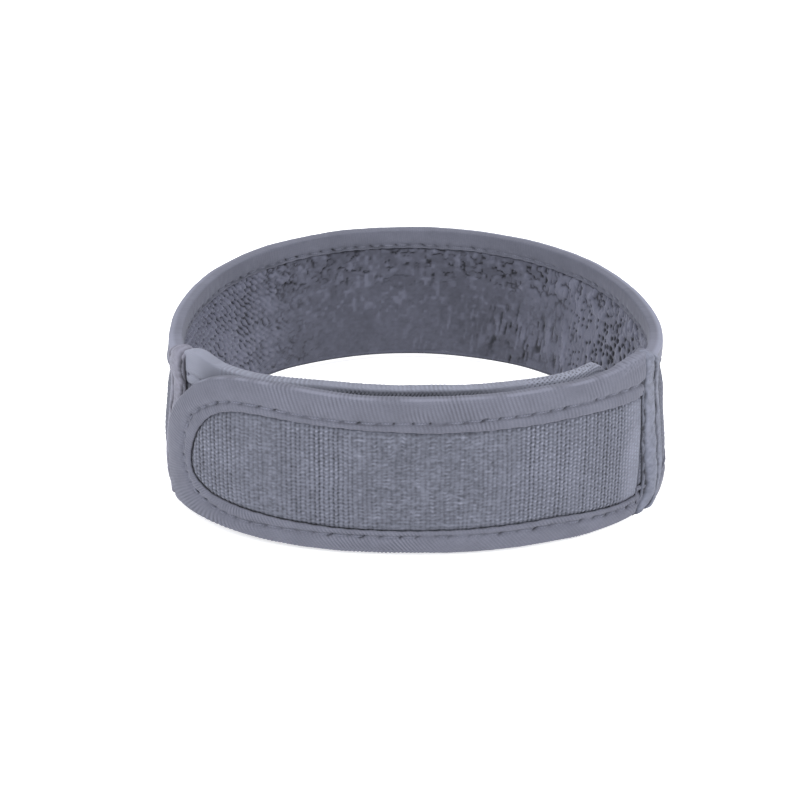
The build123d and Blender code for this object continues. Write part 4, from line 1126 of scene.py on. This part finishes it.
def back_slab(name, inner, mats, du, rows, z0, z1, k):
    n = int(round((UR - UL - 0.1) / du))
    n += (-n) % k
    rows += (-rows) % k
    u = np.linspace(UL + 0.05, UR - 0.05, n + 1)
    if inner:       # closer columns at the sides, where the knit is seen at a slant
        share = 1.0 + 0.85 * (1 - ramp(u, UL + 34, UL + 52)) + 0.75 * ramp(u, UR - 66, UR - 50)
        run = np.concatenate([[0], np.cumsum((share[1:] + share[:-1]) / 2)])
        u = np.interp(np.linspace(0, run[-1], n + 1), run, u)
    U, Z = np.meshgrid(u, np.linspace(z0, z1, rows + 1), indexing="ij")
    ref = outward(np.array([u[len(u) // 2]]))[0]
    if inner:
        Z = Z + foot_rise(U) * (1 - ramp(Z, z0, z0 + 5.0))
        z0 = z0 + foot_rise(U)
        rim = H_BACK - 3.0
        # looped pile: long slanting loops towards the left joint, upright ones towards the right, flatter behind
        left = 1 - ramp(U, UL + 38, UL + 62)
        right = ramp(U, UR - 62, UR - 42)
        upper = ramp(Z, 11.0, 16.5)
        low = 1 - ramp(Z, 5.0, 11.0)
        wx, wy = 0.35 * noise(U / 4, Z / 4, 71), 0.35 * noise(U / 4, Z / 4, 72)
        al, cl = 0.76 * U - 0.65 * Z, 0.65 * U + 0.76 * Z
        mid = np.clip(1 - left - right, 0, 1)
        # on the left, slanting rows of short cells with a half drop between rows
        cw = cl + 0.30 * noise(U / 2.6, Z / 2.2, 99) + 0.12 * noise(U / 0.9, Z / 0.8, 100)
        row = np.round(cw / 0.80)
        aw = al + 1.0 * np.mod(row, 2) + 0.55 * noise(row * 0.73, al / 2.4, 101)
        cell = 0.58 * np.cos(TAU * cw / 0.80) + 0.42 * np.cos(TAU * aw / 2.0)
        nl = 0.95 * cell + 0.45 * noise(U / 0.62, Z / 0.55, 74) + 0.42 * noise(U / 2.3, Z / 2.0, 73)
        nm = noise(U / 0.95 + wx, Z / 0.78 + wy, 78) + 0.30 * noise(U / 0.42, Z / 0.4, 77)
        nr = noise((U - 0.12 * Z) / 0.70 + wx, Z / 1.7 + wy, 79) + 0.35 * noise(U / 0.34, Z / 0.6, 75)
        n = nl * left + nm * mid + nr * right
        crack = bell(n + 0.12, 0.15) * (1 - left) + left * ramp(-nl, 0.40, 0.98)
        broken = ramp(noise(U / 0.95, Z / 0.85, 80), -0.38, 0.22) * (1 - left) + left * np.clip(0.80 + 0.55 * noise(U / 1.8, Z / 1.6, 80), 0.15, 1)
        lump = np.clip(n, 0, 1)
        amp = 0.27 * left + 0.09 * mid + 0.20 * right + 0.16 * upper
        h = amp * (lump - 0.35) - 0.20 * crack * broken * (0.25 + left + 0.9 * upper)
        h = h + 0.14 * noise(U / 3.1, Z / 4.5, 76) + 0.02 * noise(U / 0.5, Z / 0.4, 81)
        # painted shade in the cracks and hollows between the loops, and painted highlights on the loop tops (lump),
        # strongest on the left
        dark = 3.0 * left + 0.10 * mid + 0.42 * right + 0.92 * upper * (1 - 0.6 * left) * (1 - 0.5 * ramp(Z, 17.2, 18.6))
        painted_light_and_tone = crack * broken * np.clip(dark, 0, 1.25 + 1.75 * left) * (0.5 + 0.5 * hash2(np.floor(U / 2), np.floor(Z / 2), 83))
        painted_light_and_tone = painted_light_and_tone + np.clip(-n - 0.35, 0, 1) * (0.30 * left + 0.10 * mid + 0.30 * right) * broken
        painted_light_and_tone = painted_light_and_tone + 0.07 * noise(U / 0.4, Z / 0.35, 90)
        painted_light_and_tone = painted_light_and_tone - 0.42 * lump * (0.15 + 1.45 * left + 0.5 * right + 0.45 * upper) - 0.22 * left
        # light streaks low on the right, painted as highlights on raised streaks, with painted shade in the gullies;
        # loose blotches, and darker behind
        lowr = ramp(U, UR - 84, UR - 66) * (1 - ramp(Z, 6.5, 13.0))
        streak = ramp(noise((U - 0.2 * Z) / 0.46, Z / 2.0, 84), 0.05, 0.65) * lowr * np.clip(0.6 + 0.8 * noise(U / 2.3, Z / 3, 89), 0, 1)
        gully = ramp(noise((U - 0.2 * Z) / 0.40, Z / 1.45, 87), 0.10, 0.60) * ramp(U, LOOP - 102, LOOP - 88) * (1 - ramp(U, LOOP - 68, LOOP - 60)) * (1 - ramp(Z, 8.0, 13.5)) * np.clip(0.60 + 0.9 * noise(U / 1.9, Z / 1.4, 97), 0, 1)
        blot = ramp(noise(U / 0.72, Z / 0.78, 85), 0.10, 0.85) * mid * ramp(Z, 4.0, 9.0)
        h = h + 0.10 * streak - 0.20 * gully
        painted_light_and_tone = painted_light_and_tone - 0.40 * streak + 0.62 * gully - 0.36 * blot + 0.06 * lowr + 0.40 * mid - 0.04 * right
        # pinholes between the loops, painted dark as shade in the holes
        p1, p2, pw = bumps((U - 0.25 * Z) / 0.98, Z / 1.22, 76, 0.6)
        where = ramp(U, UR - 50, UR - 40) * (1 - ramp(U, UR - 22, UR - 15)) * ramp(Z, 1.5, 3.5) * (1 - ramp(Z, 15.5, 17.8))
        heart = bell(U - (LOOP - 62.5), 6.5) * bell(Z - 9.5, 6.0)
        pit = bell(p1, 0.12 + 0.10 * pw + 0.14 * heart) * where * (pw > 0.50 - 0.30 * heart)
        h = h - (0.30 + 0.28 * heart) * pit
        painted_light_and_tone = painted_light_and_tone * (1 - where * 0.3) + (1.5 + 2.4 * heart) * pit + 0.10 * heart
        # flat under the tape and at the foot, with painted shade under the tape's edge and at the foot
        flat = (1 - ramp(Z, rim - 0.25, rim + 0.1)) * ramp(Z, z0, z0 + 0.6)
        depth = T_BACK - 0.12 - 0.42 * ramp(Z, rim - 0.35, rim + 0.1) + h * flat
        near = 1 - 0.8 * ramp(U, LOOP - 112, LOOP - 84)
        painted_light_and_tone = np.clip(painted_light_and_tone * flat + 0.45 * near * bell(Z - rim + 0.05, 0.2) + 0.85 * (1 - ramp(Z, z0, z0 + 0.35)), -0.5, 1)
        lean_in = (off_rim(U) - off_back(U)) * ramp(Z, 13.5, 18)
        F = place(U, off_back(U) + lean_in - depth, Z)
        B = place(U, off_back(U) - 1.27, Z)
        ref = -ref
    else:
        wave = 0.5 + 0.5 * np.cos(TAU * (U + 0.06 * noise(U / 3, Z / 3, 81)) / 0.9)
        dot = 0.5 + 0.5 * np.cos(TAU * (Z + 0.27 * np.mod(np.round(U / 0.9), 2)) / 0.54)
        each = 0.75 + 0.5 * hash2(np.round(U / 0.9), U * 0, 86)
        h = 0.125 * (wave ** 0.75 - 0.6) * each + 0.06 * dot * wave + 0.05 * noise(U / 6, Z / 5, 82)
        snap = np.hypot(U - LOOP / 2, Z - 10.8)
        press = bell(np.clip(snap - 5.6, 0, 9), 1.3)
        h = h * (1 - 0.8 * press) - 0.14 * press
        rt, rb = H_BACK - 3.0, 3.3
        zone = ramp(Z, rb - 0.1, rb + 0.5) * (1 - ramp(Z, rt - 0.5, rt + 0.1))
        depth = 0.50 - 0.22 * zone - h * zone
        # painted shade in the rib valleys, along the tape rims and round the snap's pressed ring; painted highlights on
        # the stitch dots
        painted_light_and_tone = np.clip((0.52 * (1 - wave) ** 1.4 * each + 0.20 * (1 - dot) * wave - 0.34 * (dot * wave) ** 2) * zone + 0.7 * (bell(Z - rb, 0.2) + bell(Z - rt, 0.2)) + 0.5 * bell(snap - 6.15, 0.4), -0.5, 1)
        lean_in = (off_rim(U) - off_back(U)) * ramp(Z, 13.5, 17.8)
        F = place(U, off_back(U) + lean_in + swell(U, Z) * (1 - ramp(Z, 14.5, 18.2)) - depth, Z)
        B = place(U, off_back(U) - 1.2, Z)
    fab = np.stack([U, Z, np.full_like(U, 3.0)], -1)
    return slab(name, F, B, k, painted_light_and_tone, fab, mats, ref)


back_liner = back_slab("back_lining", True, [M_LINER], 0.19, 112, 0.12, H_BACK - 2.2, 4)
back_shell = back_slab("back_face", False, [M_SHELL], 0.15, 52, 2.2, H_BACK - 2.2, 4)

back_stitch = [
    *run_stitches("back_stitches_top_outside", BT, off_rim, 0.0, ((4.6, BT.s[-1] - 4.2),), 1.0, [M_THREAD]),
    *run_stitches("back_stitches_top_inside", BT, off_rim, T_BACK, ((4.6, BT.s[-1] - 4.2),), -1.0, [M_THREAD], r=0.13, rise=0.02),
    *run_stitches("back_stitches_bottom", BB, off_back, 0.0, ((4.6, BB.s[-1] - 4.2),), 1.0, [M_THREAD]),
]


# ================================================================ joint tapes
def joint(name, edge_a, edge_b, lift, u_mid, mats, z_in=0.35, top=21.95, bump=0.45, inner_extra=0.12, foot=0.02, pale=0.0, inset=(0.42, 0.42), hug=1.0):
    """Tape sewn over a side joint: up the outside, over the top and down the inside. edge_a and edge_b give its two edges by height."""
    path = []       # (height, place across the wall from outside 0 to inside 1, part)
    for z in np.linspace(foot, top - 1.0, 170):
        path.append((z, 0.0, z))
    for k in range(1, 18):
        th = math.pi * k / 18
        path.append((top - 1.0 + math.sin(th), 0.5 - 0.5 * math.cos(th), top - 1 + k * 0.17))
    for z in np.linspace(top - 1.0, z_in, 80):
        path.append((z, 1.0, top + 2 + (top - 1 - z)))
    path = np.array(path)
    n = len(path)
    nw = 33
    w = np.linspace(0, 1, nw)
    Zc = path[:, 0]
    ea, eb = edge_a(np.minimum(Zc, top)), edge_b(np.minimum(Zc, top))
    U = ea[:, None] + (eb - ea)[:, None] * w[None, :]
    width = np.abs(eb - ea)
    a = np.minimum(w, 1 - w)[None, :] * width[:, None]        # in from the nearer edge
    along = path[:, 2][:, None] + 0 * U
    ds = holes(along, 2.3, 0.7)
    ragged = np.clip(0.6 + 0.7 * noise(along / 1.6, U * 0, 93), 0.2, 1)
    wavy = 0.20 * noise(along / 1.7, U * 0 + 2, 94) + 0.10 * noise(along / 0.6, U * 0 + 4, 98)
    # how far in from each line of stitches
    in_a = w[None, :] * width[:, None] - inset[0] - wavy
    in_b = (1 - w)[None, :] * width[:, None] - inset[1] + wavy
    hole = bell(ds, 0.26) * (bell(in_a, 0.2) + bell(in_b, 0.2))
    groove = bell(in_a, 0.26) + bell(in_b, 0.36)
    between = np.clip(in_a / np.maximum(in_a + in_b, 0.3), 0, 1)
    h = 0.13 * np.sin(math.pi * between) ** 0.7 - 0.22 * groove - 0.12 * hole
    h = h + 0.07 * noise(along / 3.2, U / 1.6, 91) + 0.05 * noise(along / 1.1, U / 0.8, 92)
    puff = bump * bell(along - (top - 2.3), 2.3) * (0.4 + 0.6 * np.sin(math.pi * w))[None, :]
    h = h + puff * (path[:, 1] < 0.6)[:, None] * ramp(-path[:, 1], -0.6, 0)[:, None]
    rim = 1 - ramp(a, 0.0, 0.16)
    grain = noise(along / 0.30, U / 0.42, 96)
    # painted shade in the stitch holes, along both seams' grooves and at the tape's edges, with random grain; pale
    # lightens the whole tape
    painted_light_and_tone = 0.5 * hole + (0.35 + 0.65 * ragged) * (1.0 * bell(in_a, 0.26) + 1.15 * bell(in_b, 0.38)) + 0.26 * grain - pale
    painted_light_and_tone = painted_light_and_tone + rim * (0.35 + 0.65 * ragged) * np.where(w < 0.5, 1.3, 0.5)[None, :]
    painted_light_and_tone = np.clip(painted_light_and_tone, -0.5, 1)
    out_u = np.abs(np.mod(U + LOOP / 2, LOOP) - LOOP / 2)
    base = off_back(U) + (off_rim(U) - off_back(U)) * ramp(Zc[:, None], 13.5, 18) * ramp(out_u, 34.5, 37.5)
    outer, inner = base + lift(U) + swell(U, Zc[:, None] + 0 * U), base - T_BACK - inner_extra
    c = path[:, 1][:, None]
    off = outer * (1 - c) + inner * c
    # over the rim the back edge comes down onto the band
    P = place(U, off, Zc[:, None] - hug * (ramp(w, 0.35, 1.0)[None, :] * ramp(Zc, 19.8, top)[:, None]))
    nr = normals(P)
    mid = n // 4
    if (nr[mid, nw // 2] * outward(U[mid, nw // 2])).sum() < 0:
        nr = -nr
    F = P + nr * (h - 0.28 * rim)[..., None]
    B = P - nr * 0.26
    k = 2
    if (n - 1) % k:
        F, B, painted_light_and_tone, along, U = F[:-1], B[:-1], painted_light_and_tone[:-1], along[:-1], U[:-1]
    fab = np.stack([along, U, np.zeros_like(U)], -1)
    ref = outward(np.array([U[mid, nw // 2]]))[0]
    # reference direction is taken on the outside leg
    nu = len(F)
    n2 = normals(F)
    sign = 1.0 if (n2[mid, nw // 2] * ref).sum() > 0 else -1.0
    ref_mid = n2[nu // 2, nw // 2] * sign
    ob = slab(name, F, B, k, painted_light_and_tone, fab, mats, ref_mid)

    def line(which):
        def centre(s):
            f = s.ravel()
            zc = np.interp(f, path[:, 2], path[:, 0])
            cc = np.interp(f, path[:, 2], path[:, 1])
            e1, e2 = edge_a(np.minimum(zc, top)), edge_b(np.minimum(zc, top))
            g = np.sign(e2 - e1)
            uu = e1 + g * inset[0] if which == 0 else e2 - g * inset[1]
            lean = (off_rim(uu) - off_back(uu)) * ramp(zc, 13.5, 18) * ramp(np.abs(uu), 34.5, 37.5)
            o = (off_back(uu) + lean + lift(uu) + swell(uu, zc)) * (1 - cc) + (off_back(uu) + lean - T_BACK - inner_extra) * cc
            p = place(uu, o, zc)
            out = outward(uu)
            up = np.zeros_like(out)
            up[:, 2] = 1
            th = cc * math.pi
            nn = out * np.cos(th)[:, None] + up * np.sin(th)[:, None]
            pf = bump * bell(f - (top - 2.3), 2.3) * 0.55 * (cc < 0.6)
            p = p + nn * (pf - 0.16)[:, None]
            d = np.gradient(p, axis=0)
            sd = np.cross(nn, d)
            sd /= np.maximum(np.linalg.norm(sd, axis=1, keepdims=True), 1e-9)
            sh = s.shape + (3,)
            return p.reshape(sh), nn.reshape(sh), sd.reshape(sh)
        return centre

    th = []
    for which in (0, 1):
        th.append(stitches(name + "_stitches_" + "ab"[which], line(which), top - 1.6, [M_THREAD], 2.3, 0.7, r=0.11, rise=-0.06, start=0.6))
    return ob, th


def right_a(z):
    """The photographed edges: the tape leans, and turns in under the corner at its foot."""
    return np.interp(z, [-0.7, 0.4, 1.9, 4.0, 6.0, 10.4, 16.5, 21.0, 22.9], [-31.0, -31.55, -32.4, -32.6, -32.5, -32.15, -31.55, -31.1, -30.75])


def right_b(z):
    """The outer line of stitches, and the tape's edge beyond it."""
    return np.interp(z, [-0.7, 0.1, 1.2, 2.6, 5.3, 10.2, 15.0, 19.0, 23.3], [-33.3, -34.5, -35.3, -35.7, -35.9, -35.7, -35.2, -34.6, -33.9]) - 1.7


def left_a(z):
    return 34.45 + 0.9 * (1 - ramp(z, 13.0, 18.5)) * ramp(z, 9.0, 12.5)


def left_b(z):
    return np.interp(z, [0, 13.2, 14.5, 17.0, 18.7, 19.9, 22.5], [39.3, 38.5, 38.2, 37.9, 38.0, 38.6, 38.4]) + 1.3


right_tape, right_thread = joint("right_joint_tape_sewn", right_a, right_b, lambda u: 0.20 + 0.14 * ramp(u, -34, -31), -33.0, [M_SIDE2], top=22.9, bump=0.10, foot=-0.64, inset=(0.42, 1.7))
left_tape, left_thread = joint("left_joint_tape_sewn", left_a, left_b, lambda u: 0.30 + 0 * u, 36.0, [M_SIDE], top=22.9, bump=0.45, pale=0.20, inset=(0.42, 1.3))

# ================================================================ hooks inside the tab
def hooks(name, u0, u1, z0, z1, mats):
    step = 1.0
    us = np.arange(u0, u1, step)
    zs = np.arange(z0, z1, 0.95)
    U, Z = np.meshgrid(us, zs, indexing="ij")
    U = U + 0.5 * step * (np.arange(len(zs)) % 2)[None, :]
    U, Z = U.ravel(), Z.ravel()
    keep = rim_distance(TAB, U, Z)[0] > 1.0
    U, Z = U[keep], Z[keep]
    room = off_tab(U) - T_TAB - off_under(U)        # gap to the underlay
    tall = np.clip(room * 0.8, 0.30, 0.62)
    turn = np.where(hash2(np.round(U * 7), np.round(Z * 7), 95) > 0.5, 1.0, -1.0)
    t = np.linspace(0, 1, 8)
    # a stem that bends over into a crook
    hx = np.where(t < 0.5, 0, 0.5 * (1 - np.cos((t - 0.5) * 2 * math.pi * 0.62))) * 0.36
    hy = np.where(t < 0.5, t * 1.5, 0.75 + 0.25 * np.sin((t - 0.5) * 2 * math.pi * 0.62))
    base = off_tab(U) - T_TAB + 0.22
    du = turn[:, None] * hx[None, :]
    ht = hy[None, :] * tall[:, None]
    C = place(U[:, None] + du, base[:, None] - ht - 0.0, np.broadcast_to(Z[:, None], ht.shape))
    tan = np.gradient(C, axis=1)
    tan /= np.linalg.norm(tan, axis=-1, keepdims=True)
    up = np.array([0, 0, 1.0])
    bi = np.broadcast_to(up, tan.shape)
    nn = np.cross(bi, tan)
    nn /= np.linalg.norm(nn, axis=-1, keepdims=True)
    r = 0.085 * (1 - 0.25 * t)
    ph = np.arange(6) * TAU / 6
    V = C[:, :, None, :] + (nn[:, :, None, :] * np.cos(ph)[None, None, :, None] + bi[:, :, None, :] * np.sin(ph)[None, None, :, None]) * r[None, :, None, None]
    n = len(U)
    q = np.concatenate([grid_quads(8, 6, True, True, i * 48) for i in range(n)])
    caps = [list(range(i * 48, i * 48 + 6)) for i in range(n)] + [list(range(i * 48 + 42, i * 48 + 48))[::-1] for i in range(n)]
    fab = np.stack(np.broadcast_arrays(U[:, None, None], Z[:, None, None] + ph[None, None, :] * 0.1, t[None, :, None]), -1)
    # painted shade towards each hook's root
    return make(name, V, q, caps, np.broadcast_to((0.5 * (1 - t))[None, :, None], V.shape[:3]), fab, None, mats)


hook_mid = hooks("tab_hooks_middle", CUT_A + 10.0, CUT_B - 0.3, 4.2, 16.9, [M_HOOK])
hook_tip = hooks("tab_hooks_tip", CUT_B + 0.4, 30.0, 4.6, 17.0, [M_HOOK])
pieces_tab[1].append(hook_mid)
pieces_tab[2].append(hook_tip)

# ================================================================ bodies
def point(u, off, z=11.0):
    return tuple(place(np.array([u]), off, z)[0] * MM)


def bend(obs, u_hinge, half, off, way=1):
    s = point(u_hinge - way * half, off)
    e = point(u_hinge + way * half, off)
    for ob in obs:
        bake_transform(ob)


bend(pieces_tab[0], -31.4, 1.7, 0.2)
bend([right_tape, *right_thread], -31.4, 1.7, 0.2)
bend(pieces_tab[1], -12.15, 5.2, 0.6)
bend(pieces_tab[2], 10.15, 5.2, 0.9)
bend([und_cloth, und_tape, *und_out, *und_in], 33.7, 1.6, -0.3, -1)
for ob in (back_top, back_bottom, back_liner, back_shell, *back_stitch, left_tape, *left_thread):
    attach(ob, "band")

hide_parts("tab_root_face", "tab_root_core", "tab_root_lining")
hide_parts("tab_mid_face", "tab_mid_core", "tab_mid_hook")
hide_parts("tab_tip_face", "tab_tip_core", "tab_tip_hook")
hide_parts("tab_root_binding")
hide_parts("tab_mid_binding")
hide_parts("tab_tip_binding")
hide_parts("tab_root_seam")
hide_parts("tab_mid_seam")
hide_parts("tab_tip_seam")
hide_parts("underlay_loop_face", "underlay_core", "underlay_liner")
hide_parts("underlay_binding")
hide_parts("underlay_seam")
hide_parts("back_shell", "back_core")
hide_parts("back_liner")
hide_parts("back_top_binding")
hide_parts("back_bottom_binding")
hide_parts("back_top_seam")
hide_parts("back_bottom_seam")
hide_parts("left_joint_tape")
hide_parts("right_joint_tape")
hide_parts("left_joint_seam")
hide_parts("right_joint_seam")

# cloth, with the flat size of each cut: stations and heights are lengths on the flat strip; the loop does nothing with
# this table
for ob, size, area, on in (
    (pieces_tab[0][0], (0.0166, 0.0117), None, ["tab_root_binding"]),
    (pieces_tab[1][0], (0.0163, 0.0207), None, ["tab_mid_binding"]),
    (pieces_tab[2][0], (0.0161, 0.0330), 0.000475, ["tab_tip_binding"]),
    (und_cloth, (0.0174, 0.0585), 0.000985, ["underlay_binding"]),
    (back_liner, (0.0193, 0.1504), None, ["back_core"]),
    (back_shell, (0.0172, 0.1504), None, ["back_core"]),
):
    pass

# metal parts stay as the CAD made them
for node, m in (("snap_stud", M_SNAP), ("snap_washer", M_WASHER), ("snap_eyelet", M_SNAP)):
    o = frame["nodes"][node]
    if o.data.materials:
        for i in range(len(o.data.materials)):
            o.data.materials[i] = m
    else:
        o.data.materials.append(m)

# ================================================================ stage, light and camera
def area(name, loc, target, size, power, colour=(1, 1, 1)):
    light = bpy.data.lights.new(name, "AREA")
    light.shape = "SQUARE"
    light.size = size
    light.energy = power
    light.color = colour
    ob = bpy.data.objects.new(name, light)
    ob.location = loc
    ob.rotation_euler = (Vector(target) - Vector(loc)).to_track_quat("-Z", "Y").to_euler()
    bpy.context.scene.collection.objects.link(ob)


FLOOR_Z = -0.00068
me = bpy.data.meshes.new("floor")
r = 3.0
me.from_pydata([(-r, -r, FLOOR_Z), (r, -r, FLOOR_Z), (r, r, FLOOR_Z), (-r, r, FLOOR_Z)], [], [(0, 1, 2, 3)])
floor = bpy.data.objects.new("floor", me)
bpy.context.scene.collection.objects.link(floor)
fm = bpy.data.materials.new("floor_white")
fm.use_nodes = True
fb = fm.node_tree.nodes["Principled BSDF"]
fb.inputs["Base Color"].default_value = (0.86, 0.86, 0.86, 1)
fb.inputs["Roughness"].default_value = 0.9
fb.inputs["Specular IOR Level"].default_value = 0.1
fb.inputs["Emission Color"].default_value = (1, 1, 1, 1)
fb.inputs["Emission Strength"].default_value = 0.62
me.materials.append(fm)

world = bpy.data.worlds.new("studio")
world.use_nodes = True
bg = world.node_tree.nodes["Background"]
bg.inputs[0].default_value = (0.97, 0.98, 1.0, 1)
bg.inputs[1].default_value = 0.58
bpy.context.scene.world = world

area("key", (-0.25, -0.45, 0.62), (0, 0, 0.01), 0.5, 5.0)
area("fill", (0.50, -0.40, 0.30), (0, 0, 0.01), 0.5, 2.2)
area("top", (0.0, 0.10, 0.70), (0, 0, 0.0), 0.6, 2.4)

e, yaw, roll, D, z0 = math.radians(23.80), math.radians(2.922), math.radians(0.654), 263.63, 11.1
eye = Vector((-D * math.cos(e) * math.sin(yaw) - CENTRE_X, -D * math.cos(e) * math.cos(yaw) - CENTRE_Y, z0 + D * math.sin(e))) * MM
aim = Vector((-CENTRE_X, -CENTRE_Y, z0)) * MM
cd = bpy.data.cameras.new("camera")
cd.sensor_width = 36.0
cd.lens = 7.084 * D * 36.0 / 800
cd.shift_x = -16.0 / 800
cd.shift_y = -8.33 / 800
cd.clip_start, cd.clip_end = 0.01, 20
cam = bpy.data.objects.new("camera", cd)
cam.matrix_world = Matrix.Translation(eye) @ (aim - eye).to_track_quat("-Z", "Y").to_matrix().to_4x4() @ Matrix.Rotation(roll, 4, "Z")
bpy.context.scene.collection.objects.link(cam)
bpy.context.scene.camera = cam

vs = bpy.context.scene.view_settings
vs.view_transform = "Standard"
vs.look = "None"
vs.exposure = 0.0
vs.gamma = 1.0
